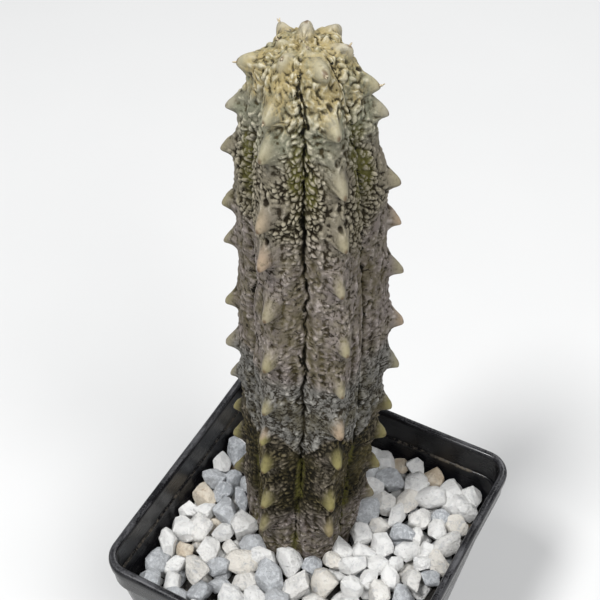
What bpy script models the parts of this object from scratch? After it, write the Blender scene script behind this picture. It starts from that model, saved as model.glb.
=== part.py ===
"""Potted columnar euphorbia: a grey toothed stem in a square black nursery pot.

The stem stands in potting soil under a dressing of pale marble stones. Units are
metres and degrees, +Z is up, and the origin is the middle of the pot's foot.
"""

import math
import random

import bmesh
import bpy
import numpy as np
from mathutils import Euler, Vector, noise

MM = 0.001
CLEARANCE = 0.3 * MM

# Pot: outer side over the rim, height, wall and the collar that steps in to a ledge
POT_SIDE = 70.0 * MM
POT_HEIGHT = 65.0 * MM
POT_CORNER = 6.2 * MM
POT_WALL = 0.9 * MM
FOOT_SIDE = 50.0 * MM
FOOT_CORNER = 5.0 * MM
FOOT_WIDTH = 6.0 * MM
FLOOR_RAISE = 1.5 * MM
FLOOR_THICK = 1.2 * MM
COLLAR_DEPTH = 7.4 * MM
COLLAR_DRAFT = 0.2 * MM
LIP_DEPTH = 2.6 * MM
LIP_OUT = 0.6 * MM
LIP_UNDERSIDE = 0.15 * MM
RIM_WIDTH = 1.5 * MM
LEDGE_WIDTH = 1.0 * MM
LEDGE_ROUNDING = 0.4 * MM
DRAIN_RADIUS = 3.0 * MM
DRAIN_OFFSET = 11.5 * MM
DRAIN_FACETS = 20
CORNER_STEPS = 6
# The lip's round top, from outside in: side lost, corner radius lost, depth below the top
LIP_ROLL = (
    (0.2 * MM, 0.0, 0.8 * MM),
    (0.9 * MM, 0.0, 0.15 * MM),
    (1.6 * MM, 0.8 * MM, 0.0),
    (2.3 * MM, 1.2 * MM, 0.15 * MM),
    (2 * RIM_WIDTH, RIM_WIDTH, 0.7 * MM),
)
# The cove between wall and floor, from the wall in: side lost, height above the floor
FLOOR_COVE = (
    (1.2 * MM, 0.6 * MM),
    (3.0 * MM, 0.0),
)

# Fill levels above the table
SOIL_TOP = 44.0 * MM
BED_TOP = 53.0 * MM
# How far a cutting tool runs past what it cuts
PAST = 3.0 * MM

# Marble dressing: one layer of stones, each drawn down into the bed below it
STONE_COUNT = 138
STONE_SMALL = 2.0 * MM
STONE_USUAL = 2.75 * MM
STONE_LARGE = 3.9 * MM
STONE_CORNERS = 12
# Length, width and height of a stone, each as a range in radii
STONE_SHAPE = ((0.98, 1.2), (0.82, 0.98), (0.7, 0.9))
# How irregular its corners are: in level, in turn, and the shortest one's reach
STONE_CORNER_PLAY = (0.12, 0.45, 0.9)
# How near its middle comes to the pot or the stem, in radii
STONE_LEAN = 0.8
STONE_SEED = 41
STONE_SPREAD_ROUNDS = 90
STONE_PUSH = 0.5
STONE_PACKING = 0.92
STONE_RAISE = (0.05, 0.45)
STONE_ROOT = 4.2 * MM
STONE_TILT = math.radians(28)

# Stem: foot of its centre line, sideways bow at half height, ground and apex heights
STEM_FOOT = Vector((-5.5, 5.4, 0.0)) * MM
STEM_BOW = Vector((1.7, 0.9, 0.0)) * MM
GROUND = 56.0 * MM
APEX = 186.6 * MM
ROOT_TIP = 27.0 * MM
# Rib crest radius against height, from the apex down to the root
CREST_LINE = (
    (0.0, 186.6),
    (3.4, 186.2),
    (6.5, 184.9),
    (8.7, 182.5),
    (10.0, 179.2),
    (11.0, 175.3),
    (11.9, 171.0),
    (12.9, 165.5),
    (13.7, 158.0),
    (14.0, 148.0),
    (14.2, 138.0),
    (14.9, 127.0),
    (15.1, 116.0),
    (14.9, 104.0),
    (14.3, 92.0),
    (13.7, 81.0),
    (13.6, 72.0),
    (13.4, 62.0),
    (12.9, 53.0),
    (11.9, 45.0),
    (7.4, 37.0),
    (3.6, 31.0),
    (0.0, 27.0),
)
STEM_COLUMNS = 156
STEM_ROW_STEP = 0.75 * MM
STEM_DECIMATE = 0.105
STEM_WELD = 0.01 * MM
STEM_ROOM = 0.45 * MM
HOLE_COLUMNS = 60

# The hole for the root in the soil: radius at its tip, room at its top, facets
ROOT_HOLE_TIP = 4.5 * MM
ROOT_HOLE_ROOM = 1.5 * MM
ROOT_HOLE_FACETS = 40

# Furrow depth as a share of the crest radius, against height
FURROW_AT_GROUND = 0.17
FURROW_DEPTHS = (
    (27.0, 0.0),
    (44.0, 0.08),
    (56.0, FURROW_AT_GROUND),
    (75.0, 0.20),
    (100.0, 0.21),
    (135.0, 0.21),
    (165.0, 0.25),
    (180.0, 0.28),
    (186.6, 0.12),
)
FURROW_SHARPNESS = 1.35

# Lumpiness of the whole stem, which fades where it is thinner than this
LUMP_SIZE = 11.0 * MM
LUMP_HEIGHT = 0.35 * MM
LUMP_FADE = 4.0 * MM

# How far the ribs turn round the stem from the ground to the apex
RIB_TWIST = math.radians(5)
# Each rib: its direction at half height, and the heights of its teeth
RIBS = (
    (-160.0, (181.6, 172.3, 162.3, 149.3, 139.2, 123.2, 111.0, 100.0, 89.3, 80.3, 67.5)),
    (-95.6, (178.2, 171.3, 157.0, 147.7, 134.7, 121.5, 108.0, 96.9, 87.9, 75.0, 65.5)),
    (-41.6, (183.9, 176.5, 164.8, 153.6, 142.2, 127.2, 115.3, 103.1, 91.8, 76.8, 66.0)),
    (22.0, (178.6, 172.7, 157.8, 147.4, 135.3, 121.0, 107.9, 96.0, 86.8, 75.3, 65.0)),
    (82.0, (176.6, 167.4, 159.6, 149.0, 136.8, 124.9, 112.4, 101.2, 89.0, 77.4, 66.2)),
    (142.0, (175.4, 166.8, 156.1, 143.9, 132.5, 120.3, 108.8, 95.1, 84.2, 72.6, 65.0)),
)
# The youngest teeth, round the apex: direction, distance from it along the skin, size
CROWN_TEETH = (
    (-99.0, 5.3, 0.85),
    (-52.0, 2.4, 0.65),
    (82.0, 9.2, 0.95),
    (108.0, 2.8, 1.0),
    (142.0, 8.6, 0.9),
    (22.0, 6.4, 0.8),
    (-160.0, 3.6, 0.6),
)
# A tooth is a blunt cone on a wide foot that droops, longer above its tip than below
TOOTH_OUT = 3.0 * MM
TOOTH_ABOVE = 4.8 * MM
TOOTH_BELOW = 4.0 * MM
TOOTH_HALF_WIDTH = 2.6 * MM
TOOTH_DROOP = 0.3
TOOTH_DROOP_PLAY = 0.2
TOOTH_TAPER = 1.45
TOOTH_PLAY = 0.12
TOOTH_STRAY = 2.5
TOOTH_SEED = 7

COLOURS = {
    "pot": ((0.012, 0.012, 0.013), 0.42),
    "soil": ((0.055, 0.038, 0.026), 0.95),
    "gravel": ((0.74, 0.73, 0.70), 0.75),
    "stem": ((0.33, 0.30, 0.23), 0.80),
}


def clear_scene():
    """Removes whatever the file opened with."""
    for obj in list(bpy.data.objects):
        bpy.data.objects.remove(obj, do_unlink=True)


def collection(name):
    """A new collection in the scene."""
    made = bpy.data.collections.new(name)
    bpy.context.scene.collection.children.link(made)
    return made


def material(name):
    """The plain material of a sub-part."""
    colour, roughness = COLOURS[name]
    made = bpy.data.materials.new(name)
    made.use_nodes = True
    shader = made.node_tree.nodes["Principled BSDF"]
    shader.inputs["Base Color"].default_value = (*colour, 1.0)
    shader.inputs["Roughness"].default_value = roughness
    shader.inputs["Metallic"].default_value = 0.0
    return made


def add_object(name, mesh, home):
    """An object of this mesh, placed at the origin, in a collection."""
    obj = bpy.data.objects.new(name, mesh)
    home.objects.link(obj)
    return obj


def finish(obj, smooth_angle=None):
    """Gives a sub-part its material and its shading."""
    obj.data.materials.append(material(obj.name))
    if smooth_angle is None:
        obj.data.shade_flat()
    else:
        obj.data.shade_smooth()
        obj.data.set_sharp_from_angle(angle=math.radians(smooth_angle))


def baked(obj):
    """Replaces an object's mesh by what its modifiers make of it."""
    graph = bpy.context.evaluated_depsgraph_get()
    made = bpy.data.meshes.new_from_object(obj.evaluated_get(graph))
    obj.modifiers.clear()
    obj.data = made
    return obj


# Lofts between rounded squares: the pot, the soil and the bed


def rounded_square(side, corner, height):
    """A level square outline with round corners, anticlockwise from above."""
    reach = side / 2 - corner
    points = []
    for quarter in range(4):
        middle = math.radians(45 + 90 * quarter)
        corner_x = math.copysign(reach, math.cos(middle))
        corner_y = math.copysign(reach, math.sin(middle))
        for step in range(CORNER_STEPS + 1):
            turn = math.radians(90 * (quarter + step / CORNER_STEPS))
            points.append(
                Vector(
                    (
                        corner_x + corner * math.cos(turn),
                        corner_y + corner * math.sin(turn),
                        height,
                    )
                )
            )
    return points


def loft(name, sections):
    """A closed mesh through (side, corner, height) outlines, capped at both ends."""
    bm = bmesh.new()
    rings = [[bm.verts.new(p) for p in rounded_square(*s)] for s in sections]
    for lower, upper in zip(rings, rings[1:]):
        count = len(lower)
        for i in range(count):
            j = (i + 1) % count
            bm.faces.new((lower[i], lower[j], upper[j], upper[i]))
    bm.faces.new(reversed(rings[0]))
    bm.faces.new(rings[-1])
    bmesh.ops.recalc_face_normals(bm, faces=bm.faces)
    mesh = bpy.data.meshes.new(name)
    bm.to_mesh(mesh)
    bm.free()
    return mesh


def ledge_height():
    """Height of the ledge inside the collar."""
    return POT_HEIGHT - COLLAR_DEPTH


def wall_side(height):
    """Inner side of the tapered wall at a height, below the ledge."""
    top = POT_SIDE - 2 * (RIM_WIDTH + LEDGE_WIDTH)
    bottom = FOOT_SIDE - 2 * POT_WALL
    share = height / ledge_height()
    return bottom + (top - bottom) * share


def pot_sections():
    """The pot's section, from under its floor, out, up, over the rim and down inside."""
    floor_side = FOOT_SIDE - 2 * FOOT_WIDTH
    collar_side = POT_SIDE - 2 * LIP_OUT
    body_top = wall_side(ledge_height()) + 2 * POT_WALL
    inner_side = POT_SIDE - 2 * RIM_WIDTH
    inner_corner = POT_CORNER - RIM_WIDTH
    under_lip = POT_HEIGHT - LIP_DEPTH
    floor = FLOOR_RAISE + FLOOR_THICK
    outside = [
        (floor_side - 2 * FLOOR_RAISE, FOOT_CORNER / 2, FLOOR_RAISE),
        (floor_side, FOOT_CORNER / 2, 0.0),
        (FOOT_SIDE - POT_WALL, FOOT_CORNER - POT_WALL / 2, 0.0),
        (FOOT_SIDE, FOOT_CORNER, POT_WALL),
        (body_top, POT_CORNER - LEDGE_WIDTH, ledge_height() - POT_WALL),
        (collar_side, POT_CORNER, ledge_height() + LEDGE_ROUNDING),
        (collar_side, POT_CORNER, under_lip),
        (POT_SIDE, POT_CORNER, under_lip + LIP_UNDERSIDE),
    ]
    lip = [
        (POT_SIDE - lost, POT_CORNER - tighter, POT_HEIGHT - depth)
        for lost, tighter, depth in LIP_ROLL
    ]
    ledge = [
        (inner_side - COLLAR_DRAFT, inner_corner, ledge_height() + LEDGE_ROUNDING),
        (wall_side(ledge_height()) + LEDGE_ROUNDING, inner_corner, ledge_height()),
        (wall_side(ledge_height()), inner_corner, ledge_height() - LEDGE_ROUNDING),
    ]
    cove = [
        (wall_side(floor) - lost, FOOT_CORNER - POT_WALL, floor + height)
        for lost, height in FLOOR_COVE
    ]
    return outside + lip + ledge + cove


def cutter(obj, home):
    """Turns an object into a hidden cutting tool."""
    for old in obj.users_collection:
        old.objects.unlink(obj)
    home.objects.link(obj)
    obj.hide_render = True
    obj.display_type = "WIRE"
    return obj


def cut(obj, tool, operation="DIFFERENCE"):
    """Cuts a tool's shape out of an object, or cuts the object down to it."""
    modifier = obj.modifiers.new(tool.name, "BOOLEAN")
    modifier.operation = operation
    modifier.object = tool


def make_pot(parts, cutters):
    """The moulded pot: tapered walls, collar, rolled lip, raised floor, five drain holes."""
    pot = add_object("pot", loft("pot", pot_sections()), parts)
    spots = [(0.0, 0.0)]
    spots += [(x * DRAIN_OFFSET, y * DRAIN_OFFSET) for x in (-1, 1) for y in (-1, 1)]
    for number, (x, y) in enumerate(spots):
        bpy.ops.mesh.primitive_cylinder_add(
            vertices=DRAIN_FACETS,
            radius=DRAIN_RADIUS,
            depth=4 * (FLOOR_RAISE + FLOOR_THICK),
            location=(x, y, FLOOR_RAISE),
        )
        tool = cutter(bpy.context.object, cutters)
        tool.name = f"drain_{number}"
        cut(pot, tool)
    finish(pot, smooth_angle=35)


# Stem


def smooth_line(points, step):
    """Points along a Catmull-Rom curve through a line of points, about a step apart."""
    line = [Vector(p) for p in points]
    line = [2 * line[0] - line[1]] + line + [2 * line[-1] - line[-2]]
    found = []
    for before, start, end, after in zip(line, line[1:], line[2:], line[3:]):
        count = max(1, round((end - start).length / step))
        for i in range(count):
            t = i / count
            found.append(
                0.5
                * (
                    2 * start
                    + (end - before) * t
                    + (2 * before - 5 * start + 4 * end - after) * t**2
                    + (3 * start - before - 3 * end + after) * t**3
                )
            )
    return found + [line[-2]]


def stem_profile():
    """Radius, height and arc length down the rib crest line, in metres, apex first."""
    line = smooth_line([(r * MM, z * MM) for r, z in CREST_LINE], STEM_ROW_STEP)
    radius = np.array([max(p.x, 0.0) for p in line])
    height = np.array([p.y for p in line])
    steps = np.hypot(np.diff(radius), np.diff(height))
    return radius, height, np.concatenate([[0.0], np.cumsum(steps)])


def turned_stem(radius, height):
    """The stem as a plain turned body, as a mesh."""
    bm = bmesh.new()
    line = [bm.verts.new((r, 0.0, z)) for r, z in zip(radius, height)]
    for upper, lower in zip(line, line[1:]):
        bm.edges.new((upper, lower))
    mesh = bpy.data.meshes.new("stem_profile")
    bm.to_mesh(mesh)
    bm.free()
    return mesh


def stem_teeth(height, arc):
    """Every tooth as (direction, arc length from the apex, size, droop)."""
    draw = random.Random(TOOTH_SEED)
    teeth = [(math.radians(a), reach * MM, size, 0.0) for a, reach, size in CROWN_TEETH]
    for direction, levels in RIBS:
        for level in levels:
            size = 1 + TOOTH_PLAY * draw.uniform(-1, 1)
            droop = TOOTH_DROOP + TOOTH_DROOP_PLAY * draw.uniform(-1, 1)
            aside = math.radians(direction + TOOTH_STRAY * draw.uniform(-1, 1))
            along = float(np.interp(-level * MM, -height, arc))
            teeth.append((aside, along - droop * size * TOOTH_OUT, size, droop))
    return teeth


def tooth_form(distance):
    """Height of a tooth as a share, against the distance from its middle."""
    inside = np.clip(distance, 0, 1)
    bell = 0.5 + 0.5 * np.cos(math.pi * inside)
    return 0.5 * bell + 0.5 * (1 - inside) ** TOOTH_TAPER


def furrow_share(turn):
    """How far into its furrow each direction lies: 0 on a rib's crest, 1 mid-furrow."""
    crests = np.sort(np.radians([direction for direction, _ in RIBS]))
    crests = np.append(crests, crests[0] + 2 * math.pi)
    turn = (turn - crests[0]) % (2 * math.pi) + crests[0]
    rib = np.clip(np.searchsorted(crests, turn, side="right") - 1, 0, len(RIBS) - 1)
    share = (turn - crests[rib]) / (crests[rib + 1] - crests[rib])
    return (1 - np.abs(1 - 2 * share)) ** FURROW_SHARPNESS


def centre_line(height):
    """Offset of the stem's centre line from the pot's axis at each height."""
    share = np.clip((height - GROUND) / (APEX - GROUND), 0, 1)
    return np.array(STEM_FOOT) + np.sin(math.pi * share)[:, None] * np.array(STEM_BOW)


def shape_stem(points):
    """Moves the points of the turned body into ribs, furrows, teeth and lumps."""
    radius, height, arc = stem_profile()
    crest = np.hypot(points[:, 0], points[:, 1])
    level = points[:, 2]
    turn = np.arctan2(points[:, 1], points[:, 0])
    rib_turn = turn - RIB_TWIST * ((level - GROUND) / (APEX - GROUND) - 0.5)
    along = np.interp(-level, -height, arc)
    fall = np.interp(along, arc, np.gradient(height, arc))
    widen = np.interp(along, arc, np.gradient(radius, arc))
    size = np.hypot(fall, widen)
    fall, widen = fall / size, widen / size

    depth = np.interp(level, *np.array(FURROW_DEPTHS).T * [[MM], [1.0]])
    out = crest * (1 - depth * furrow_share(rib_turn))
    rise = np.zeros(len(points))
    slide = np.zeros(len(points))
    for aside, reach, share, droop in stem_teeth(height, arc):
        lengthwise = (along - reach) / share
        lengthwise = lengthwise / np.where(lengthwise < 0, TOOTH_ABOVE, TOOTH_BELOW)
        across = (rib_turn - aside + math.pi) % (2 * math.pi) - math.pi
        across = across * crest / (share * TOOTH_HALF_WIDTH)
        bump = share * TOOTH_OUT * tooth_form(np.hypot(lengthwise, across))
        slide = np.where(bump > rise, droop * bump, slide)
        rise = np.maximum(rise, bump)
    lumps = np.array([noise.noise(Vector(p) / LUMP_SIZE) for p in points]) * LUMP_HEIGHT
    rise = rise + lumps * np.clip(crest / LUMP_FADE, 0, 1)
    shift = centre_line(level)
    out = out - rise * fall + slide * widen
    return np.column_stack(
        (
            out * np.cos(turn) + shift[:, 0],
            out * np.sin(turn) + shift[:, 1],
            level + rise * widen + slide * fall,
        )
    )


def make_stem(parts):
    """The whole plant: a six-ribbed column with drooping teeth and a short root."""
    radius, height, _ = stem_profile()
    stem = add_object("stem", turned_stem(radius, height), parts)
    screw = stem.modifiers.new("turned", "SCREW")
    screw.steps = STEM_COLUMNS
    screw.render_steps = STEM_COLUMNS
    screw.use_merge_vertices = True
    screw.merge_threshold = STEM_WELD
    baked(stem)
    mesh = stem.data
    points = np.empty(len(mesh.vertices) * 3)
    mesh.vertices.foreach_get("co", points)
    mesh.vertices.foreach_set("co", shape_stem(points.reshape(-1, 3)).ravel())
    fewer = stem.modifiers.new("fewer_faces", "DECIMATE")
    fewer.ratio = STEM_DECIMATE
    finish(stem, smooth_angle=70)


# Soil and gravel


def stem_hole(name, bottom, top, radius_bottom, radius_top, home):
    """A plain tapered hole for the stem, as a cutter."""
    bpy.ops.mesh.primitive_cone_add(
        vertices=ROOT_HOLE_FACETS,
        radius1=radius_bottom,
        radius2=radius_top,
        depth=top - bottom,
        location=(STEM_FOOT.x, STEM_FOOT.y, (top + bottom) / 2),
    )
    tool = cutter(bpy.context.object, home)
    tool.name = name
    return tool


def crest_radius(height):
    """Rib crest radius of the stem at a height."""
    radius, level, _ = stem_profile()
    return float(np.interp(-height, -level, radius))


def make_soil(parts, cutters):
    """Potting soil from the floor up to the gravel, with a hole for the root."""
    floor = FLOOR_RAISE + FLOOR_THICK
    gap = 2 * CLEARANCE
    sections = [
        (wall_side(floor) - lost - 2 * gap, FOOT_CORNER - POT_WALL, floor + height + CLEARANCE)
        for lost, height in reversed(FLOOR_COVE)
    ]
    sections.append((wall_side(SOIL_TOP) - 3 * gap, FOOT_CORNER - POT_WALL, SOIL_TOP))
    soil = add_object("soil", loft("soil", sections), parts)
    mouth = crest_radius(SOIL_TOP) + ROOT_HOLE_ROOM + PAST
    cut(soil, stem_hole("root_hole", ROOT_TIP - PAST, SOIL_TOP + PAST, ROOT_HOLE_TIP, mouth, cutters))
    finish(soil, smooth_angle=30)


def kept_in_pot(spots, margins):
    """Moves each spot that is nearer to the pot's wall than its margin back inside."""
    corner = POT_CORNER - RIM_WIDTH
    straight = wall_side(BED_TOP) / 2 - corner
    beyond = np.clip(np.abs(spots) - straight, 0, None)
    distance = np.maximum(np.hypot(beyond[:, 0], beyond[:, 1]), 1e-9)
    share = np.minimum(1, (corner - margins) / distance)
    inside = np.minimum(np.abs(spots), straight) + beyond * share[:, None]
    return np.copysign(inside, spots)


def kept_off_stem(spots, margins):
    """Moves each spot that is nearer to the stem than its margin away from it."""
    foot = np.array(STEM_FOOT.xy)
    away = spots - foot
    turn = np.arctan2(away[:, 1], away[:, 0])
    rib = crest_radius(GROUND) * (1 - FURROW_AT_GROUND * furrow_share(turn + RIB_TWIST / 2))
    distance = np.hypot(away[:, 0], away[:, 1])
    return foot + away * (np.maximum(distance, rib + margins) / distance)[:, None]


def spread_stones():
    """Middles and radii of the stones, pushed apart until they lie side by side."""
    draw = random.Random(STONE_SEED)
    radii = np.array(
        [draw.triangular(STONE_SMALL, STONE_LARGE, STONE_USUAL) for _ in range(STONE_COUNT)]
    )
    half = wall_side(BED_TOP) / 2
    spots = np.array([[draw.uniform(-half, half) for _ in range(2)] for _ in radii])
    reach = STONE_PACKING * (radii[:, None] + radii[None, :])
    margins = STONE_LEAN * radii
    for _ in range(STONE_SPREAD_ROUNDS):
        apart = spots[:, None] - spots[None, :]
        distance = np.hypot(apart[..., 0], apart[..., 1]) + np.eye(len(spots))
        push = np.clip(reach - distance, 0, None) / distance
        np.fill_diagonal(push, 0)
        spots = spots + STONE_PUSH * (apart * push[..., None]).sum(axis=1)
        spots = kept_off_stem(kept_in_pot(spots, margins), margins)
    return np.round(kept_in_pot(spots, margins), 6), radii


def stone_mesh(draw, radius):
    """One broken marble stone, its underside drawn straight down into the bed."""
    stretch = Vector([draw.uniform(*limits) for limits in STONE_SHAPE])
    level_play, turn_play, shortest = STONE_CORNER_PLAY
    tilt = [draw.uniform(-1, 1) * STONE_TILT for _ in range(2)]
    turned = Euler((*tilt, draw.uniform(0, 2 * math.pi))).to_matrix()
    golden = math.pi * (3 - math.sqrt(5))
    bm = bmesh.new()
    for number in range(STONE_CORNERS):
        z = 1 - 2 * (number + 0.5) / STONE_CORNERS + level_play * draw.uniform(-1, 1)
        z = max(-1.0, min(1.0, z))
        turn = golden * number + turn_play * draw.uniform(-1, 1)
        level = math.sqrt(1 - z * z)
        point = Vector((level * math.cos(turn), level * math.sin(turn), z))
        point = turned @ (point * stretch) * (radius * draw.uniform(shortest, 1.0))
        bm.verts.new(point)
        bm.verts.new((point.x, point.y, -STONE_ROOT))
    hull = bmesh.ops.convex_hull(bm, input=bm.verts)
    inside = [v for v in hull["geom_interior"] if isinstance(v, bmesh.types.BMVert)]
    bmesh.ops.delete(bm, geom=inside, context="VERTS")
    loose = [v for v in bm.verts if not v.link_faces]
    bmesh.ops.delete(bm, geom=loose, context="VERTS")
    bmesh.ops.recalc_face_normals(bm, faces=bm.faces)
    mesh = bpy.data.meshes.new("stone")
    bm.to_mesh(mesh)
    bm.free()
    return mesh


def make_stones(heap):
    """All the stones, each its own object."""
    draw = random.Random(STONE_SEED + 1)
    spots, radii = spread_stones()
    for number, (spot, radius) in enumerate(zip(spots, radii)):
        stone = add_object(f"stone_{number}", stone_mesh(draw, radius), heap)
        stone.location = (spot[0], spot[1], BED_TOP + radius * draw.uniform(*STONE_RAISE))


def stem_outline(name, bottom, top, home):
    """The stem's outline near the ground, with some room round it, as a cutter."""
    bm = bmesh.new()
    turns = np.linspace(-math.pi, math.pi, HOLE_COLUMNS, endpoint=False)
    share = furrow_share(turns + RIB_TWIST / 2)
    reach = crest_radius(GROUND) * (1 - FURROW_AT_GROUND * share) + STEM_ROOM
    rings = []
    for level in (bottom, top):
        ring = []
        for turn, out in zip(turns, reach):
            edge = Vector((out * math.cos(turn), out * math.sin(turn), level))
            ring.append(bm.verts.new(edge + STEM_FOOT))
        rings.append(ring)
    for i in range(HOLE_COLUMNS):
        j = (i + 1) % HOLE_COLUMNS
        bm.faces.new((rings[0][i], rings[0][j], rings[1][j], rings[1][i]))
    bm.faces.new(reversed(rings[0]))
    bm.faces.new(rings[1])
    bmesh.ops.recalc_face_normals(bm, faces=bm.faces)
    mesh = bpy.data.meshes.new(name)
    bm.to_mesh(mesh)
    bm.free()
    return cutter(add_object(name, mesh, home), home)


def make_gravel(parts, cutters):
    """The marble dressing: a bed round the stem with the stones fused to its top."""
    bottom = SOIL_TOP + CLEARANCE
    gap = 3 * CLEARANCE
    corner = POT_CORNER - RIM_WIDTH
    sections = [
        (wall_side(bottom) - gap, corner, bottom),
        (wall_side(BED_TOP) - gap, corner, BED_TOP),
    ]
    gravel = add_object("gravel", loft("gravel", sections), parts)
    heap = collection("stones")
    make_stones(heap)
    fused = gravel.modifiers.new("stones", "BOOLEAN")
    fused.operation = "UNION"
    fused.operand_type = "COLLECTION"
    fused.collection = heap
    fused.solver = "MANIFOLD"
    baked(gravel)
    for stone in list(heap.objects):
        bpy.data.objects.remove(stone, do_unlink=True)
    bpy.data.collections.remove(heap)

    top = POT_HEIGHT + PAST
    brim = ledge_height() - LEDGE_ROUNDING
    inside = [
        (wall_side(bottom) - gap, corner, bottom - PAST),
        (wall_side(brim) - gap, corner, brim),
        (wall_side(brim) - gap, corner, top),
    ]
    pot_room = cutter(add_object("pot_room", loft("pot_room", inside), cutters), cutters)
    cut(gravel, pot_room, "INTERSECT")
    cut(gravel, stem_outline("stem_hole", bottom - PAST, top + PAST, cutters))
    finish(gravel)


def main():
    clear_scene()
    parts = collection("potted_euphorbia")
    cutters = collection("cutters")
    make_pot(parts, cutters)
    make_soil(parts, cutters)
    make_gravel(parts, cutters)
    make_stem(parts)


main()
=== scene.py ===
"""Looks of a potted columnar euphorbia: skin, stones, grit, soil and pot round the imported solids."""

import logging
import math
import random
from dataclasses import dataclass
from enum import Enum
from typing import Any

import bmesh
import bpy
import numpy as np
from mathutils import Euler, Matrix, Vector, noise


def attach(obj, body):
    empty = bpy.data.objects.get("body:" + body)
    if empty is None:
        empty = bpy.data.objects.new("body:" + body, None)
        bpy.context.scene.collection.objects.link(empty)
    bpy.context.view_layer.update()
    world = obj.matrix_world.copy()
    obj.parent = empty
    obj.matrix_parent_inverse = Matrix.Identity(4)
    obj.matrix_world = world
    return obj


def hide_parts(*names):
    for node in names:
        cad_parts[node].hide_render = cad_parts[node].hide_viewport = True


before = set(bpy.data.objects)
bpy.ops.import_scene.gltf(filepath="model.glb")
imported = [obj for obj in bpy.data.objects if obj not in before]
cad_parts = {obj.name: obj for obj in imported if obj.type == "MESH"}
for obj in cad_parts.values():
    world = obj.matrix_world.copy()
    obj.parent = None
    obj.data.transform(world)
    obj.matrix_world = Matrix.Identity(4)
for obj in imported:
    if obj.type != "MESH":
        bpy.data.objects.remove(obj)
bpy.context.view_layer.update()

MM = 0.001
PER_MM = 1000.0
BODY = "root"
NOISE_SEED = 12

Triple = tuple[float, float, float]
Colour = Triple
Array = np.ndarray


# Numbers over a mesh


def ease(low: float, high: float, values: Array) -> Array:
    """A smooth rise from 0 at low to 1 at high.

    Args:
        low: Where the rise starts. It may be above high, for a fall.
        high: Where it ends.
        values: What to look up.

    Returns:
        The share for each value.
    """
    share = np.clip((values - low) / (high - low), 0, 1)
    return share * share * (3 - 2 * share)


def roughness_at(points: Array, size: float, basis: str = "PERLIN_ORIGINAL") -> Array:
    """Blender's noise at each point, about -1 to 1.

    Args:
        points: Points.
        size: Size of the noise's features, in the same unit.
        basis: Blender's name of the kind of noise.

    Returns:
        One number for each point.
    """
    return np.array([noise.noise(p, noise_basis=basis) for p in (points / size).tolist()])


def swirl_at(points: Array, size: float) -> Array:
    """A random push for each point, about -1 to 1 along each axis, in features of a size."""
    return np.array([noise.noise_vector(p) for p in (points / size).tolist()])


def lumps_at(points: Array, size: float) -> tuple[Array, Array]:
    """Packed round lumps: how high each point lies on its lump, and a chance for each lump.

    Args:
        points: Points.
        size: Usual width of a lump, in the same unit.

    Returns:
        0 in a gap between lumps to 1 on top of one, and a number of 0 to 1 for each lump.
    """
    found = [noise.voronoi(p) for p in (points / size).tolist()]
    near, next_near = np.array([distances[:2] for distances, _ in found]).T
    dome = np.clip((next_near - near) / 0.42, 0, 1) * np.clip(1.45 - 1.35 * near, 0, 1)
    return dome, np.array([(middles[0].x * 7.31 + middles[0].z * 3.17) % 1.0 for _, middles in found])


def points_of(mesh: bpy.types.Mesh) -> Array:
    """The vertices of a mesh.

    Args:
        mesh: The mesh.

    Returns:
        One row of three numbers for each vertex.
    """
    points = np.empty(len(mesh.vertices) * 3)
    mesh.vertices.foreach_get("co", points)
    return points.reshape(-1, 3)


def set_points(mesh: bpy.types.Mesh, points: Array) -> None:
    """Moves the vertices of a mesh."""
    mesh.vertices.foreach_set("co", points.ravel())
    mesh.update()


def billow_at(points: Array, size: float) -> Array:
    """Round puffs of a size with sharp creases between them, 0 in a crease to 1."""
    return np.clip(2.2 * np.abs(roughness_at(points, size)), 0, 1)


def standing_out(mesh: bpy.types.Mesh, heights: Array, passes: int) -> Array:
    """How far each vertex's height is above the average round it.

    Args:
        mesh: The mesh that the heights belong to.
        heights: One for each vertex.
        passes: How many times the average spreads by one edge.

    Returns:
        The difference for each vertex.
    """
    ends = np.empty(len(mesh.edges) * 2, np.int32)
    mesh.edges.foreach_get("vertices", ends)
    one, other = ends[::2], ends[1::2]
    count = np.maximum(np.bincount(ends, minlength=len(heights)), 1)
    average = heights
    for _ in range(passes):
        total = np.bincount(one, average[other], len(heights))
        total = total + np.bincount(other, average[one], len(heights))
        average = (average + total / count) / 2
    return heights - average


def write_attribute(mesh: bpy.types.Mesh, name: str, values: Array) -> None:
    """Keeps one number for each vertex on a mesh, for its material to read."""
    layer = mesh.attributes.new(name, "FLOAT", "POINT")
    layer.data.foreach_set("value", np.asarray(values, np.float32))


# Node trees


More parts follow.
